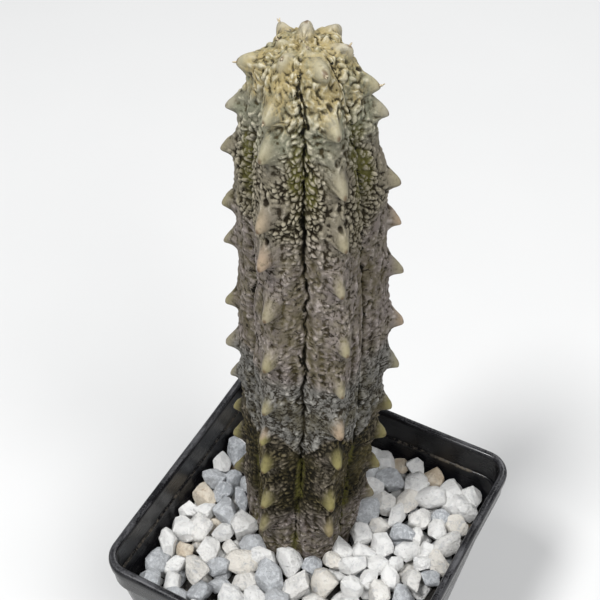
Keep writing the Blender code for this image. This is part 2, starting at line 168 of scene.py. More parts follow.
class Field:
    """A number, colour or vector that varies over a surface: one socket, with arithmetic."""

    def __init__(self, tree: "Tree", socket: bpy.types.NodeSocket) -> None:
        """Wraps an output of a node in a tree."""
        self.tree = tree
        self.socket = socket

    def _math(self, operation: str, *values: Any, clamp: bool = False) -> "Field":
        """A Math node on these values."""
        settings = {"operation": operation, "use_clamp": clamp}
        return self.tree.node("ShaderNodeMath", settings, dict(enumerate(values)))

    def __add__(self, other: Any) -> "Field":
        """This number and another."""
        return self._math("ADD", self, other)

    def __radd__(self, other: Any) -> "Field":
        """Another number and this one."""
        return self._math("ADD", other, self)

    def __sub__(self, other: Any) -> "Field":
        """This number less another."""
        return self._math("SUBTRACT", self, other)

    def __rsub__(self, other: Any) -> "Field":
        """Another number less this one."""
        return self._math("SUBTRACT", other, self)

    def __mul__(self, other: Any) -> "Field":
        """This number times another."""
        return self._math("MULTIPLY", self, other)

    def __rmul__(self, other: Any) -> "Field":
        """Another number times this one."""
        return self._math("MULTIPLY", other, self)

    def held(self) -> "Field":
        """This number, kept between 0 and 1."""
        return self._math("ADD", self, 0.0, clamp=True)

    def above(self, other: Any) -> "Field":
        """The larger of this and another number."""
        return self._math("MAXIMUM", self, other)

    def rise(self, low: Any, high: Any) -> "Field":
        """A smooth rise from 0 at low to 1 at high, or a fall where low is above high."""
        inputs = {"Value": self, "From Min": low, "From Max": high}
        return self.tree.node("ShaderNodeMapRange", {"interpolation_type": "SMOOTHSTEP"}, inputs)


class Tree:
    """The node tree of one material, with a method for each kind of node it needs."""

    def __init__(self, name: str) -> None:
        """Makes a new material that has only its shader.

        Args:
            name: The material's name.
        """
        self.material = bpy.data.materials.new(name)
        self.material.use_nodes = True
        self.nodes = self.material.node_tree.nodes
        self.links = self.material.node_tree.links
        self.shader = self.nodes["Principled BSDF"]

    def feed(self, socket: bpy.types.NodeSocket, value: Any) -> None:
        """Gives a socket what it needs.

        Args:
            socket: The socket.
            value: A field to link, a colour or a number.
        """
        if isinstance(value, Field):
            self.links.new(value.socket, socket)
        elif isinstance(value, tuple) and socket.type == "RGBA":
            socket.default_value = (*value, 1.0)
        else:
            socket.default_value = value

    def node(
        self,
        kind: str,
        settings: dict[str, Any] | None = None,
        inputs: dict[Any, Any] | None = None,
        output: int | str = 0,
    ) -> Field:
        """Adds a node.

        Args:
            kind: Blender's type name.
            settings: Its settings, set first.
            inputs: Values or links of its sockets, by name or number.
            output: Which of its outputs to return.

        Returns:
            That output.
        """
        made = self.nodes.new(kind)
        for name, value in (settings or {}).items():
            setattr(made, name, value)
        for key, value in (inputs or {}).items():
            self.feed(made.inputs[key], value)
        return Field(self, made.outputs[output])

    def place(self, stretch: Triple = (1.0, 1.0, 1.0)) -> Field:
        """Object coordinates in millimetres.

        Args:
            stretch: How much longer a pattern on them gets along each axis.

        Returns:
            The coordinates.
        """
        found = self.node("ShaderNodeTexCoord", output="Object")
        scale = tuple(PER_MM / part for part in stretch)
        return self.vector_math("MULTIPLY", found, scale)

    def vector_math(self, operation: str, *values: Any) -> Field:
        """A Vector Math node on these values."""
        return self.node("ShaderNodeVectorMath", {"operation": operation}, dict(enumerate(values)))

    def attribute(self, name: str) -> Field:
        """A number that the mesh keeps for each vertex."""
        return self.node("ShaderNodeAttribute", {"attribute_name": name}, output="Fac")

    def noise(self, where: Field, size: float, detail: float = 2.0, rough: float = 0.5) -> Field:
        """Cloudy noise, 0 to 1, of features about this many millimetres across."""
        inputs = {"Vector": where, "Scale": 1 / size, "Detail": detail, "Roughness": rough}
        return self.node("ShaderNodeTexNoise", None, inputs)

    def cells(self, where: Field, size: float) -> Field:
        """How far each point is from its cell's edge, with cells about this many millimetres across."""
        inputs = {"Vector": where, "Scale": 1 / size}
        return self.node("ShaderNodeTexVoronoi", {"feature": "DISTANCE_TO_EDGE"}, inputs, "Distance")

    def warped(self, where: Field, size: float, amount: float) -> Field:
        """Coordinates pushed about by noise.

        Args:
            where: The coordinates, in millimetres.
            size: Size of the noise's features.
            amount: Length of the push from one end of the noise to the other.

        Returns:
            The new coordinates.
        """
        cloud = self.node("ShaderNodeTexNoise", None, {"Vector": where, "Scale": 1 / size}, "Color")
        centred = self.vector_math("SUBTRACT", cloud, (0.5, 0.5, 0.5))
        return self.vector_math("MULTIPLY_ADD", centred, (amount, amount, amount), where)

    def mix(self, first: Any, second: Any, share: Any) -> Field:
        """A colour between two, by a share of 0 to 1."""
        settings = {"data_type": "RGBA", "clamp_factor": True}
        return self.node("ShaderNodeMix", settings, {0: share, 6: first, 7: second}, 2)

    def bump(self, height: Field, distance: float, strength: float = 1.0) -> Field:
        """A surface normal from a height of 0 to 1 that stands for this many millimetres."""
        inputs = {"Height": height, "Distance": distance * MM, "Strength": strength}
        return self.node("ShaderNodeBump", None, inputs)

    def finish(self, colour: Any, roughness: Any, normal: Field | None = None) -> bpy.types.Material:
        """Feeds the shader's main sockets.

        Args:
            colour: For Base Color.
            roughness: For Roughness.
            normal: For Normal, where the surface has relief.

        Returns:
            The material.
        """
        self.set("Base Color", colour)
        self.set("Roughness", roughness)
        if normal is not None:
            self.set("Normal", normal)
        return self.material

    def set(self, name: str, value: Any) -> None:
        """Gives the shader's socket of this name a field, a colour or a number."""
        self.feed(self.shader.inputs[name], value)


# Finishes


@dataclass(frozen=True)
class BlackPlastic:
    """Moulded black plastic, scuffed on its edges and painted with a grey highlight along its lip, with dust
    and lime on its ledge.
    """

    black: Colour = (0.0045, 0.0045, 0.0055)
    # The grey of scuffs, also painted as a highlight along the lip.
    worn: Colour = (0.075, 0.075, 0.080)
    dust: Colour = (0.12, 0.10, 0.075)
    ledge: float = 57.6
    rim: float = 65.0

    def material(self) -> bpy.types.Material:
        """Builds the finish of the pot.

        Returns:
            The material.
        """
        tree = Tree("black_plastic")
        where = tree.place()
        height = tree.node("ShaderNodeSeparateXYZ", None, {0: where}, "Z")
        grain = tree.noise(where, 0.35, 2.0)
        patches = tree.noise(where, 7.0, 4.0, 0.6)
        scratches = tree.noise(tree.place((9.0, 9.0, 0.5)), 1.0, 3.0, 0.65)
        above_ledge = height.rise(self.ledge + 1.1, self.ledge + 0.1)
        near_ledge = above_ledge * height.rise(self.ledge - 1.6, self.ledge - 0.3)
        crumbs = tree.noise(where, 0.8, 4.0, 0.7)
        dusty = (near_ledge * (crumbs * 0.9 + patches * 0.8)).rise(0.78, 1.05)
        film = patches.rise(0.5, 0.85) * 0.05
        # Scuffs and a painted highlight: grey along the top of the rolled lip.
        worn = height.rise(self.rim - 0.75, self.rim - 0.05) * (scratches + grain * 0.4).rise(0.55, 0.9)
        specks = tree.noise(where, 0.55, 3.0, 0.8).rise(0.70, 0.78) * 0.5
        colour = tree.mix(self.black, self.worn, worn)
        colour = tree.mix(colour, self.dust, (dusty * 0.8).above(film).above(specks * 0.6))
        rough = 0.16 + patches * 0.14 + scratches * 0.08 + dusty * 0.45 + worn * 0.1
        tree.set("Specular IOR Level", 0.34)
        normal = tree.bump(grain * 0.3 + scratches * 0.35 + dusty * 0.5, 0.1, 0.45)
        return tree.finish(colour, rough, normal)


@dataclass(frozen=True)
class PottingSoil:
    """Dark crumbly potting soil."""

    dark: Colour = (0.018, 0.012, 0.008)
    crumb: Colour = (0.075, 0.052, 0.034)

    def material(self) -> bpy.types.Material:
        """Builds the finish of the soil.

        Returns:
            The material.
        """
        tree = Tree("potting_soil")
        where = tree.place()
        crumbs = tree.cells(tree.warped(where, 2.0, 1.2), 1.7)
        grain = tree.noise(where, 0.6, 4.0, 0.7)
        colour = tree.mix(self.dark, self.crumb, (crumbs + grain * 0.5).rise(0.2, 0.7))
        return tree.finish(colour, 0.95, tree.bump(grain + crumbs, 0.8))


@dataclass(frozen=True)
class StoneGrit:
    """The bed under the stones: fine chips, dust and soil on a ground painted near black as the shade
    between the stones.
    """

    shade: Colour = (0.012, 0.010, 0.008)
    chip: Colour = (0.10, 0.093, 0.08)

    def material(self) -> bpy.types.Material:
        """Builds the finish of the bed.

        Returns:
            The material.
        """
        tree = Tree("stone_grit")
        where = tree.place()
        chips = tree.cells(tree.warped(where, 1.5, 0.7), 1.3)
        grain = tree.noise(where, 0.5, 4.0, 0.7)
        # Mostly painted shade, near black, with lighter chips.
        colour = tree.mix(self.shade, self.chip, (chips + grain * 0.5).rise(0.35, 0.75))
        return tree.finish(colour, 0.9, tree.bump(grain + chips, 0.6))


class Marble(Enum):
    """The sorts of marble in the dressing, by the number kept on a stone's vertices."""

    WHITE = 0.0
    GREY = 0.5
    TAN = 1.0


@dataclass(frozen=True)
class MarbleStone:
    """Broken and tumbled marble: white, blue-grey with crystals, or tan."""

    white: Colour = (0.83, 0.825, 0.805)
    cream: Colour = (0.74, 0.675, 0.565)
    veil: Colour = (0.52, 0.53, 0.54)
    grey: Colour = (0.38, 0.40, 0.425)
    crystal: Colour = (0.66, 0.68, 0.70)
    tan: Colour = (0.47, 0.36, 0.24)
    rust: Colour = (0.30, 0.19, 0.10)
    dirt: Colour = (0.15, 0.13, 0.10)

    def material(self) -> bpy.types.Material:
        """Builds the finish of the stones.

        Returns:
            The material.
        """
        tree = Tree("marble_stone")
        where = tree.place()
        sort = tree.attribute("sort")
        tone = tree.attribute("tone")
        bent = tree.warped(where, 3.0, 2.2)
        clouds = tree.noise(bent, 1.9, 5.0, 0.68)
        veins = tree.noise(tree.warped(where, 2.0, 1.6), 1.1, 5.0, 0.72)
        grain = tree.noise(where, 0.38, 3.0, 0.7)
        pits = tree.noise(where, 0.5, 2.0, 0.6).rise(0.66, 0.76)

        white = tree.mix(self.white, self.cream, (tone * 1.2 + clouds * 0.7).rise(1.0, 1.9))
        white = tree.mix(white, self.veil, clouds.rise(0.48, 0.68) * (0.35 + tone * 0.5))
        white = tree.mix(white, self.grey, veins.rise(0.60, 0.72) * 0.45)
        grey = tree.mix(self.grey, self.veil, tone)
        grey = tree.mix(grey, self.crystal, (veins + grain * 0.25).rise(0.56, 0.74) * 0.85)
        tan = tree.mix(self.tan, self.cream, (clouds + tone * 0.6).rise(0.45, 1.0))
        tan = tree.mix(tan, self.rust, veins.rise(0.56, 0.70) * 0.6)
        colour = tree.mix(white, grey, sort.rise(0.2, 0.3))
        colour = tree.mix(colour, tan, sort.rise(0.7, 0.8))
        dirty = tree.noise(where, 1.3, 5.0, 0.75).rise(0.56, 0.74)
        colour = tree.mix(colour, self.dirt, (dirty * 0.38).above(pits * 0.35))
        rough = 0.42 + grain * 0.3
        height = grain * 0.8 + clouds * 0.6 + veins * 1.1 - pits * 0.4
        return tree.finish(colour, rough, tree.bump(height, 0.7))


class SkinTree(Tree):
    """The skin's node tree, with the numbers of the mesh and the noises that its methods share."""

    numbers: str = "form chance tooth tip pit blush rib flank crown warty ashen murky moss stain soot"

    def __init__(self) -> None:
        """Reads the mesh's numbers and adds the noises."""
        super().__init__("euphorbia_skin")
        self.at = {name: self.attribute(name) for name in self.numbers.split()}
        self.where = self.place()
        self.patches = self.noise(self.warped(self.where, 6.0, 4.0), 4.0, 4.0, 0.65)
        self.grain = self.noise(self.where, 0.50, 4.0, 0.75)
        self.streaks = self.noise(self.place((0.8, 0.8, 5.0)), 0.6, 3.0, 0.65)


@dataclass(frozen=True)
class EuphorbiaSkin:
    """Dry living skin: straw and gold at the crown with painted cream highlights, warty, cracked and mossy
    further down; painted highlight lies on its high points and painted shade in its creases.
    """

    mauve: Colour = (0.160, 0.135, 0.122)
    beige: Colour = (0.155, 0.136, 0.096)
    ash: Colour = (0.142, 0.137, 0.124)
    wart: Colour = (0.128, 0.112, 0.076)
    straw: Colour = (0.175, 0.168, 0.118)
    sage: Colour = (0.160, 0.163, 0.112)
    gold: Colour = (0.330, 0.255, 0.105)
    sludge: Colour = (0.020, 0.016, 0.006)
    # Lit copies of the zone colours, painted on high points as highlight; the pale wart colour is also the
    # ribs' own colour among the warts.
    mauve_highlight: Colour = (0.385, 0.340, 0.315)
    ash_highlight: Colour = (0.340, 0.330, 0.300)
    pale_wart_and_highlight: Colour = (0.350, 0.316, 0.236)
    cream: Colour = (0.520, 0.485, 0.365)
    sludge_highlight: Colour = (0.120, 0.099, 0.048)
    # Shaded copies of the zone colours, painted in creases as shade; the brown and black also colour cracks,
    # pits and the dark furrows.
    umber: Colour = (0.040, 0.031, 0.019)
    slate: Colour = (0.034, 0.030, 0.023)
    brown: Colour = (0.013, 0.009, 0.004)
    crown_shade: Colour = (0.038, 0.029, 0.010)
    black: Colour = (0.006, 0.005, 0.002)
    olive: Colour = (0.088, 0.073, 0.030)
    moss: Colour = (0.100, 0.094, 0.022)
    tan: Colour = (0.275, 0.245, 0.160)
    pink: Colour = (0.400, 0.290, 0.200)
    green: Colour = (0.270, 0.240, 0.095)
    bone: Colour = (0.430, 0.400, 0.325)
    tip: Colour = (0.090, 0.050, 0.025)

    def zoned(self, tree: SkinTree, plain: Any, ashen: Any, warty: Any, crown: Any, murky: Any) -> Field:
        """One colour out of five, by the part of the stem that a point lies in.

        Args:
            tree: The skin's node tree.
            plain: The colour half-way up.
            ashen: That of the grey part below it.
            warty: That of the warty part above it.
            crown: That of the crown.
            murky: That of the dark part near the stones.

        Returns:
            The colour.
        """
        colour = tree.mix(plain, ashen, tree.at["ashen"])
        colour = tree.mix(colour, warty, tree.at["warty"])
        colour = tree.mix(colour, crown, tree.at["crown"].rise(0.0, 0.6))
        return tree.mix(colour, murky, tree.at["murky"])

    def height(self, tree: SkinTree) -> Field:
        """How high each point stands beside its neighbours, form and fine grain, for the bump and for the
        painted highlight and shade.

        Args:
            tree: The skin's node tree.

        Returns:
            About 0 in a crease to 1 on top.
        """
        crown = tree.at["crown"]
        grain = (tree.grain - 0.5) * (1.15 - crown * 0.5 - tree.at["ashen"] * 0.45)
        streaks = (tree.streaks - 0.5) * tree.at["flank"].above(crown * 0.5) * 1.1
        speckle = tree.noise(tree.where, 0.28, 2.0, 0.6) - 0.5
        return tree.at["form"] + grain + streaks + speckle * 0.35

    def shaded_and_stained(self, tree: SkinTree, height: Field) -> Field:
        """The colour of plain skin: painted highlight where it stands out, painted shade in its creases, and
        stained.

        Args:
            tree: The skin's node tree.
            height: How high each point stands.

        Returns:
            The colour.
        """
        crown, warty, rib = tree.at["crown"], tree.at["warty"], tree.at["rib"]
        middle = tree.mix(self.mauve, self.beige, (tree.patches + tree.grain * 0.5).rise(0.60, 0.95))
        topping = tree.mix(self.straw, self.sage, tree.patches.rise(0.52, 0.40))
        golden = (crown + tree.patches * 0.8 + tree.streaks * 0.6).rise(1.42, 1.80)
        topping = tree.mix(topping, self.gold, golden * 0.80)
        colour = self.zoned(tree, middle, self.ash, self.wart, topping, self.sludge)
        light = self.zoned(tree, self.mauve_highlight, self.ash_highlight, self.pale_wart_and_highlight, self.cream, self.sludge_highlight)
        shade = self.zoned(tree, self.umber, self.slate, self.brown, self.crown_shade, self.black)
        colour = tree.mix(colour, self.pale_wart_and_highlight, warty * rib * 0.22)
        # Painted highlight: lighter on high points, and a painted light strip near the rib crests.
        highlight_share = height.rise(0.52, 1.05) * (0.5 + tree.at["chance"] * 0.5)
        colour = tree.mix(colour, light, highlight_share.above(tree.at["flank"] * 0.16))
        # Painted shade: darker in the creases, more among the warts in the furrows, less on the ribs, and
        # more in the dark part near the stones.
        deep = height - warty * (0.14 - rib * 0.20) - tree.at["murky"] * 0.16
        colour = tree.mix(colour, shade, deep.rise(0.50, 0.12))
        stained = tree.noise(tree.where, 2.6, 5.0, 0.7) + tree.at["stain"] * 0.42
        calm = 1 - crown.rise(0.1, 0.5).above(warty * 0.6)
        return tree.mix(colour, self.olive, stained.rise(0.70, 0.98) * calm * 0.55)

    def fine_cracks(self, tree: SkinTree) -> tuple[Field, Field]:
        """Fine cracks and pores half-way up, and the crackle of the grey part.

        Args:
            tree: The skin's node tree.

        Returns:
            How dark they make each point, and how far each point lies in an open crack.
        """
        where, at = tree.where, tree.at
        plain = (1 - at["warty"].above(at["murky"]).above(at["crown"].rise(0.1, 0.5))).held()
        torn = tree.cells(tree.warped(tree.warped(where, 2.6, 2.8), 0.8, 0.8), 3.1).rise(0.060, 0.016)
        torn = torn * tree.noise(where, 2.4, 4.0, 0.7).rise(0.52, 0.60)
        hair = tree.cells(tree.warped(where, 0.9, 0.9), 1.25).rise(0.105, 0.03)
        hair = hair * tree.noise(where, 1.7, 3.0, 0.7).rise(0.60, 0.68)
        pores = tree.noise(where, 0.62, 2.0, 0.5).rise(0.66, 0.72)
        upright = tree.warped(tree.place((1.5, 1.5, 0.85)), 0.9, 0.8)
        crackle = tree.cells(upright, 0.85).rise(0.21, 0.08) * tree.noise(where, 1.3, 3.0).rise(0.47, 0.57)
        dark = torn.above(hair * 0.9).above(pores * 0.8) * plain
        return dark.above(crackle * at["ashen"]), hair.above(torn) * plain

    def horn(self, tree: SkinTree) -> Field:
        """The colour of a tooth: tan or pink, bone at the crown, green near the stones.

        Args:
            tree: The skin's node tree.

        Returns:
            The colour.
        """
        blush = tree.at["blush"]
        colour = tree.mix(self.tan, self.pink, blush.rise(0.72, 0.85) * 0.8)
        colour = tree.mix(colour, self.bone, tree.at["crown"] * 0.75)
        green = (tree.at["murky"] * 1.3).held().above(blush.rise(0.35, 0.15) * 0.35)
        colour = tree.mix(colour, self.green, green)
        dirt = tree.noise(tree.where, 1.0, 4.0, 0.65).rise(0.50, 0.72)
        return tree.mix(colour, self.olive, dirt * 0.6)

    def splits(self, tree: SkinTree) -> Field:
        """The frayed black cracks down the furrows, from the distances that the mesh keeps.

        Args:
            tree: The skin's node tree.

        Returns:
            1 in a crack, 0 elsewhere.
        """
        jag = (tree.noise(tree.where, 1.2, 4.0, 0.75) - 0.5) * 2.2
        ragged = tree.noise(tree.where, 1.3, 2.0) * 1.4 - 0.44
        lines = []
        for name in ("crack", "branch"):
            aside = tree.attribute(f"{name}_off") + jag
            width = tree.attribute(f"{name}_there") * ragged
            line = (aside * aside).rise(width * width, width * width * 0.3)
            lines.append(line * width.rise(0.02, 0.06))
        return lines[0].above(lines[1])

    def material(self) -> bpy.types.Material:
        """Builds the finish of the stem.

        Returns:
            The material.
        """
        tree = SkinTree()
        at, tooth = tree.at, tree.at["tooth"]
        height = self.height(tree)
        dark, open_cracks = self.fine_cracks(tree)
        split = self.splits(tree)
        moss = (at["moss"] + (tree.grain - 0.5) * 1.1).rise(0.2, 0.8)
        colour = self.shaded_and_stained(tree, height)
        for coat, share in (
            (self.brown, dark * (1 - tooth * 0.85) * 0.92),
            (self.black, at["soot"] * (1.0 - height * 0.35) * 0.85),
            (self.moss, moss * height.rise(1.25, 0.55) * 0.8),
            (self.horn(tree), tooth.rise(0.05, 1.1) * 0.8),
            (self.tip, at["tip"] * 0.8),
            (self.brown, at["pit"] * 0.95),
            (self.black, split),
        ):
            colour = tree.mix(colour, coat, share)

        tree.set("Specular IOR Level", 0.14)
        tree.set("Coat Roughness", 0.36)
        tree.set("Coat Weight", at["crown"] * 0.30 + tooth * 0.12 + at["warty"] * height * 0.10)
        rough = 0.72 - tooth * 0.16 + tree.grain * 0.1
        relief = height * 0.5 - open_cracks * 0.5 - split * 0.6
        return tree.finish(colour, rough, tree.bump(relief * (1 - tooth * 0.6), 0.4))


@dataclass(frozen=True)
class DriedLeaf:
    """The withered remains of small leaves."""

    straw: Colour = (0.50, 0.43, 0.30)
    brown: Colour = (0.16, 0.11, 0.06)

    def material(self) -> bpy.types.Material:
        """Builds the finish of the leaf remains.

        Returns:
            The material.
        """
        tree = Tree("dried_leaf")
        where = tree.place((1.0, 1.0, 3.0))
        streaks = tree.noise(where, 0.3, 3.0, 0.6)
        colour = tree.mix(self.straw, self.brown, streaks.rise(0.4, 0.7))
        return tree.finish(colour, 0.8, tree.bump(streaks, 0.1))


@dataclass(frozen=True)
class StudioFloor:
    """A matt pale studio floor."""

    pale: Colour = (0.66, 0.66, 0.655)

    def material(self) -> bpy.types.Material:
        """Builds the finish of the floor.

        Returns:
            The material.
        """
        tree = Tree("studio_floor")
        where = tree.place()
        clouds = tree.noise(where, 60.0, 3.0)
        darker = tuple(0.96 * part for part in self.pale)
        return tree.finish(tree.mix(self.pale, darker, clouds), 0.85)


# Pieces


def new_mesh(name: str, bm: bmesh.types.BMesh) -> bpy.types.Mesh:
    """Makes a mesh of a bmesh.

    Args:
        name: Its name.
        bm: Its shape, which is freed.

    Returns:
        The mesh.
    """
    mesh = bpy.data.meshes.new(name)
    bm.to_mesh(mesh)
    bm.free()
    return mesh


def new_object(name: str, data: bpy.types.ID) -> bpy.types.Object:
    """Puts a mesh, a camera or a light into the scene.

    Args:
        name: The object's name.
        data: What it holds.

    Returns:
        The object, at the origin.
    """
    made = bpy.data.objects.new(name, data)
    bpy.context.scene.collection.objects.link(made)
    return made


def add_piece(
    name: str,
    bm: bmesh.types.BMesh,
    material: bpy.types.Material,
    replaced: str | None = None,
) -> bpy.types.Object:
    """Makes a piece of the object from a bmesh.

    Args:
        name: The piece's name.
        bm: Its shape, which is freed.
        material: Its finish.
        replaced: The CAD node that it stands for.

    Returns:
        The object, at the origin, riding on the only body.
    """
    mesh = new_mesh(name, bm)
    mesh.materials.append(material)
    mesh.shade_smooth()
    obj = new_object(name, mesh)
    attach(obj, BODY)
    if replaced is not None:
        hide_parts(replaced)
    return obj


def round_outline(side: float, corner: float, height: float, steps: int, runs: int) -> list[Vector]:
    """A level square outline with round corners.

    Args:
        side: Its side.
        corner: Its corner radius.
        height: Its level.
        steps: Facets in each corner.
        runs: Parts of each straight side.

    Returns:
        Points in order of their direction from the middle.
    """
    reach = side / 2 - corner
    points = []
    for quarter in range(4):
        middle = math.radians(45 + 90 * quarter)
        toward = math.cos(middle), math.sin(middle)
        centre = Vector((*(math.copysign(reach, part) for part in toward), height))
        for step in range(steps + 1):
            turn = math.radians(90 * (quarter + step / steps))
            points.append(centre + corner * Vector((math.cos(turn), math.sin(turn), 0.0)))
        along = Matrix.Rotation(math.radians(90 * (quarter + 1)), 3, "Z") @ Vector((0.0, 1.0, 0.0))
        start = points[-1]
        for run in range(1, runs):
            points.append(start + along * (2 * reach * run / runs))
    return sorted(points, key=lambda p: math.atan2(p.y, p.x))


def set_ring(verts: list[bmesh.types.BMVert], points: list[Vector]) -> None:
    """Moves a ring of vertices to points, both taken in order of direction."""
    for vert, point in zip(sorted(verts, key=lambda v: math.atan2(v.co.y, v.co.x)), points):
        vert.co = point


def next_ring(
    bm: bmesh.types.BMesh, edges: list[bmesh.types.BMEdge], points: list[Vector]
) -> list[bmesh.types.BMEdge]:
    """Extrudes a ring of edges to new points.

    Args:
        bm: The mesh.
        edges: The ring to extrude.
        points: Where the new ring goes.

    Returns:
        The new ring's edges.
    """
    made = bmesh.ops.extrude_edge_only(bm, edges=edges)["geom"]
    set_ring([g for g in made if isinstance(g, bmesh.types.BMVert)], points)
    return [g for g in made if isinstance(g, bmesh.types.BMEdge) and g.is_boundary]


@dataclass
class NurseryPot:
    """The square pot: tapered walls, a collar with a ledge inside, a rolled lip, drain holes."""

    side: float = 70.0 * MM
    height: float = 65.0 * MM
    corner: float = 6.2 * MM
    wall: float = 0.9 * MM
    foot_side: float = 50.0 * MM
    foot_corner: float = 5.0 * MM
    foot_width: float = 6.0 * MM
    floor_raise: float = 1.5 * MM
    floor_thick: float = 1.2 * MM
    collar_depth: float = 7.4 * MM
    collar_draft: float = 0.2 * MM
    lip_depth: float = 2.6 * MM
    lip_out: float = 0.6 * MM
    lip_roll: float = 1.1 * MM
    rim_width: float = 2.0 * MM
    ledge_width: float = 0.6 * MM
    rounding: float = 0.4 * MM
    drain_radius: float = 3.0 * MM
    drain_offset: float = 11.5 * MM
    steps: int = 12
    runs: int = 14
    waviness: float = 0.22 * MM
    wave_length: float = 24 * MM

    @property
    def ledge(self) -> float:
        """Height of the ledge inside the collar."""
        return self.height - self.collar_depth

    def wall_side(self, height: float) -> float:
        """Inner side of the tapered wall.

        Args:
            height: At this height.

        Returns:
            The side.
        """
        top = self.side - 2 * (self.rim_width + self.ledge_width)
        bottom = self.foot_side - 2 * self.wall
        return bottom + (top - bottom) * height / self.ledge

    def outline(self, side: float, corner: float, height: float) -> list[Vector]:
        """A ring of the pot."""
        return round_outline(side, corner, height, self.steps, self.runs)

    def sections(self) -> list[tuple[float, float, float]]:
        """The pot's rings, from under its floor to its top side.

        Returns:
            Side, corner radius and height of each.
        """
        inner_side = self.side - 2 * self.rim_width
        inner_corner = self.corner - self.rim_width
        collar = self.side - 2 * self.lip_out
        under_lip = self.height - self.lip_depth
        floor = self.floor_raise + self.floor_thick
        body_top = self.wall_side(self.ledge) + 2 * self.wall
        hollow = self.foot_side - 2 * self.foot_width
        below = [
            (hollow - 2 * self.floor_raise, self.foot_corner / 2, self.floor_raise),
            (hollow, self.foot_corner / 2, 0.0),
            (self.foot_side - self.wall, self.foot_corner - self.wall / 2, 0.0),
            (self.foot_side, self.foot_corner, self.wall),
            (body_top - 0.1 * MM, self.corner - self.ledge_width, self.ledge - 2 * self.wall),
            (body_top + 0.2 * MM, self.corner - self.ledge_width, self.ledge - self.wall),
            (collar - 0.3 * MM, self.corner, self.ledge + self.rounding),
            (collar, self.corner, self.ledge + 2 * self.rounding),
            (collar, self.corner, under_lip - 0.1 * MM),
            (collar + 0.3 * MM, self.corner, under_lip + 0.05 * MM),
            (self.side - 0.2 * MM, self.corner, under_lip + 0.15 * MM),
        ]
        roll = []
        for turn in range(0, 181, 15):
            across = 0.5 * (1 - math.cos(math.radians(turn))) * 2 * self.rim_width
            rise = self.lip_roll * (math.sin(math.radians(turn)) ** 0.85 - 1)
            roll.append((self.side - across, self.corner - across / 2, self.height + rise))
        inside = [
            (inner_side - self.collar_draft, inner_corner, self.ledge + 2 * self.rounding),
            (inner_side - self.collar_draft - 0.3 * MM, inner_corner, self.ledge + self.rounding / 2),
            (inner_side - 2 * self.ledge_width + 2 * self.rounding, inner_corner, self.ledge),
            (self.wall_side(self.ledge) + self.rounding / 2, inner_corner, self.ledge - self.rounding / 4),
            (self.wall_side(self.ledge), inner_corner, self.ledge - self.rounding),
            (self.wall_side(floor) - 1.2 * MM, self.foot_corner - self.wall, floor + 0.6 * MM),
            (self.wall_side(floor) - 3.0 * MM, self.foot_corner - self.wall, floor),
        ]
        return below + roll + inside

    def moulding(self) -> bmesh.types.BMesh:
        """The pot without its drain holes.

        Returns:
            Its shape.
        """
        bm = bmesh.new()
        sections = self.sections()
        first = self.outline(*sections[0])
        ring = bmesh.ops.create_circle(bm, segments=len(first), radius=1.0)["verts"]
        set_ring(ring, first)
        edges = list(bm.edges)
        bmesh.ops.contextual_create(bm, geom=edges)
        for section in sections[1:]:
            edges = next_ring(bm, edges, self.outline(*section))
        bmesh.ops.contextual_create(bm, geom=edges)
        bmesh.ops.recalc_face_normals(bm, faces=bm.faces)
        return bm

    def drilled(self, bm: bmesh.types.BMesh) -> bmesh.types.BMesh:
        """Cuts the drain holes.

        Args:
            bm: The moulding, which is freed.

        Returns:
            The pot's shape.
        """
        pot = new_object("undrilled", new_mesh("undrilled", bm))
        tools = bmesh.new()
        for x, y in ((0, 0), (-1, -1), (-1, 1), (1, -1), (1, 1)):
            spot = Vector((x * self.drain_offset, y * self.drain_offset, self.floor_raise))
            bmesh.ops.create_cone(
                tools,
                cap_ends=True,
                segments=32,
                radius1=self.drain_radius,
                radius2=self.drain_radius,
                depth=4 * self.floor_thick,
                matrix=Matrix.Translation(spot),
            )
        drill = new_object("drill", new_mesh("drill", tools))
        cut = pot.modifiers.new("drain_holes", "BOOLEAN")
        cut.object = drill
        cut.operation = "DIFFERENCE"
        graph = bpy.context.evaluated_depsgraph_get()
        made = bmesh.new()
        made.from_mesh(pot.evaluated_get(graph).to_mesh())
        bpy.data.objects.remove(pot)
        bpy.data.objects.remove(drill)
        return made

    def build(self) -> bpy.types.Object:
        """Builds the pot, its long edges a little wavy as thin plastic is.

        Returns:
            The pot.
        """
        bm = self.drilled(self.moulding())
        for vert in bm.verts:
            share = max(0.0, vert.co.z / self.height) ** 3
            push = noise.noise_vector(vert.co / self.wave_length) * self.waviness * share
            vert.co += Vector((push.x, push.y, 0.3 * min(push.z, 0.0)))
        pot = add_piece("nursery_pot", bm, BlackPlastic().material(), "pot")
        pot.data.set_sharp_from_angle(angle=math.radians(60))
        return pot


@dataclass
class SkinPoints:
    """The vertices of a span of the stem before its relief.

    Attributes:
        place: Their places on the fluted surface without teeth, in mm.
        turn: Their directions from the stem's middle, measured from the ribs.
        level: Their heights in mm.
        crest: Radii of the rib crests at those heights.
        furrow: How far into a furrow each lies, 0 to 1.
        patchy: Noise in features of a few millimetres.
    """

    place: Array
    turn: Array
    level: Array
    crest: Array
    furrow: Array
    patchy: Array


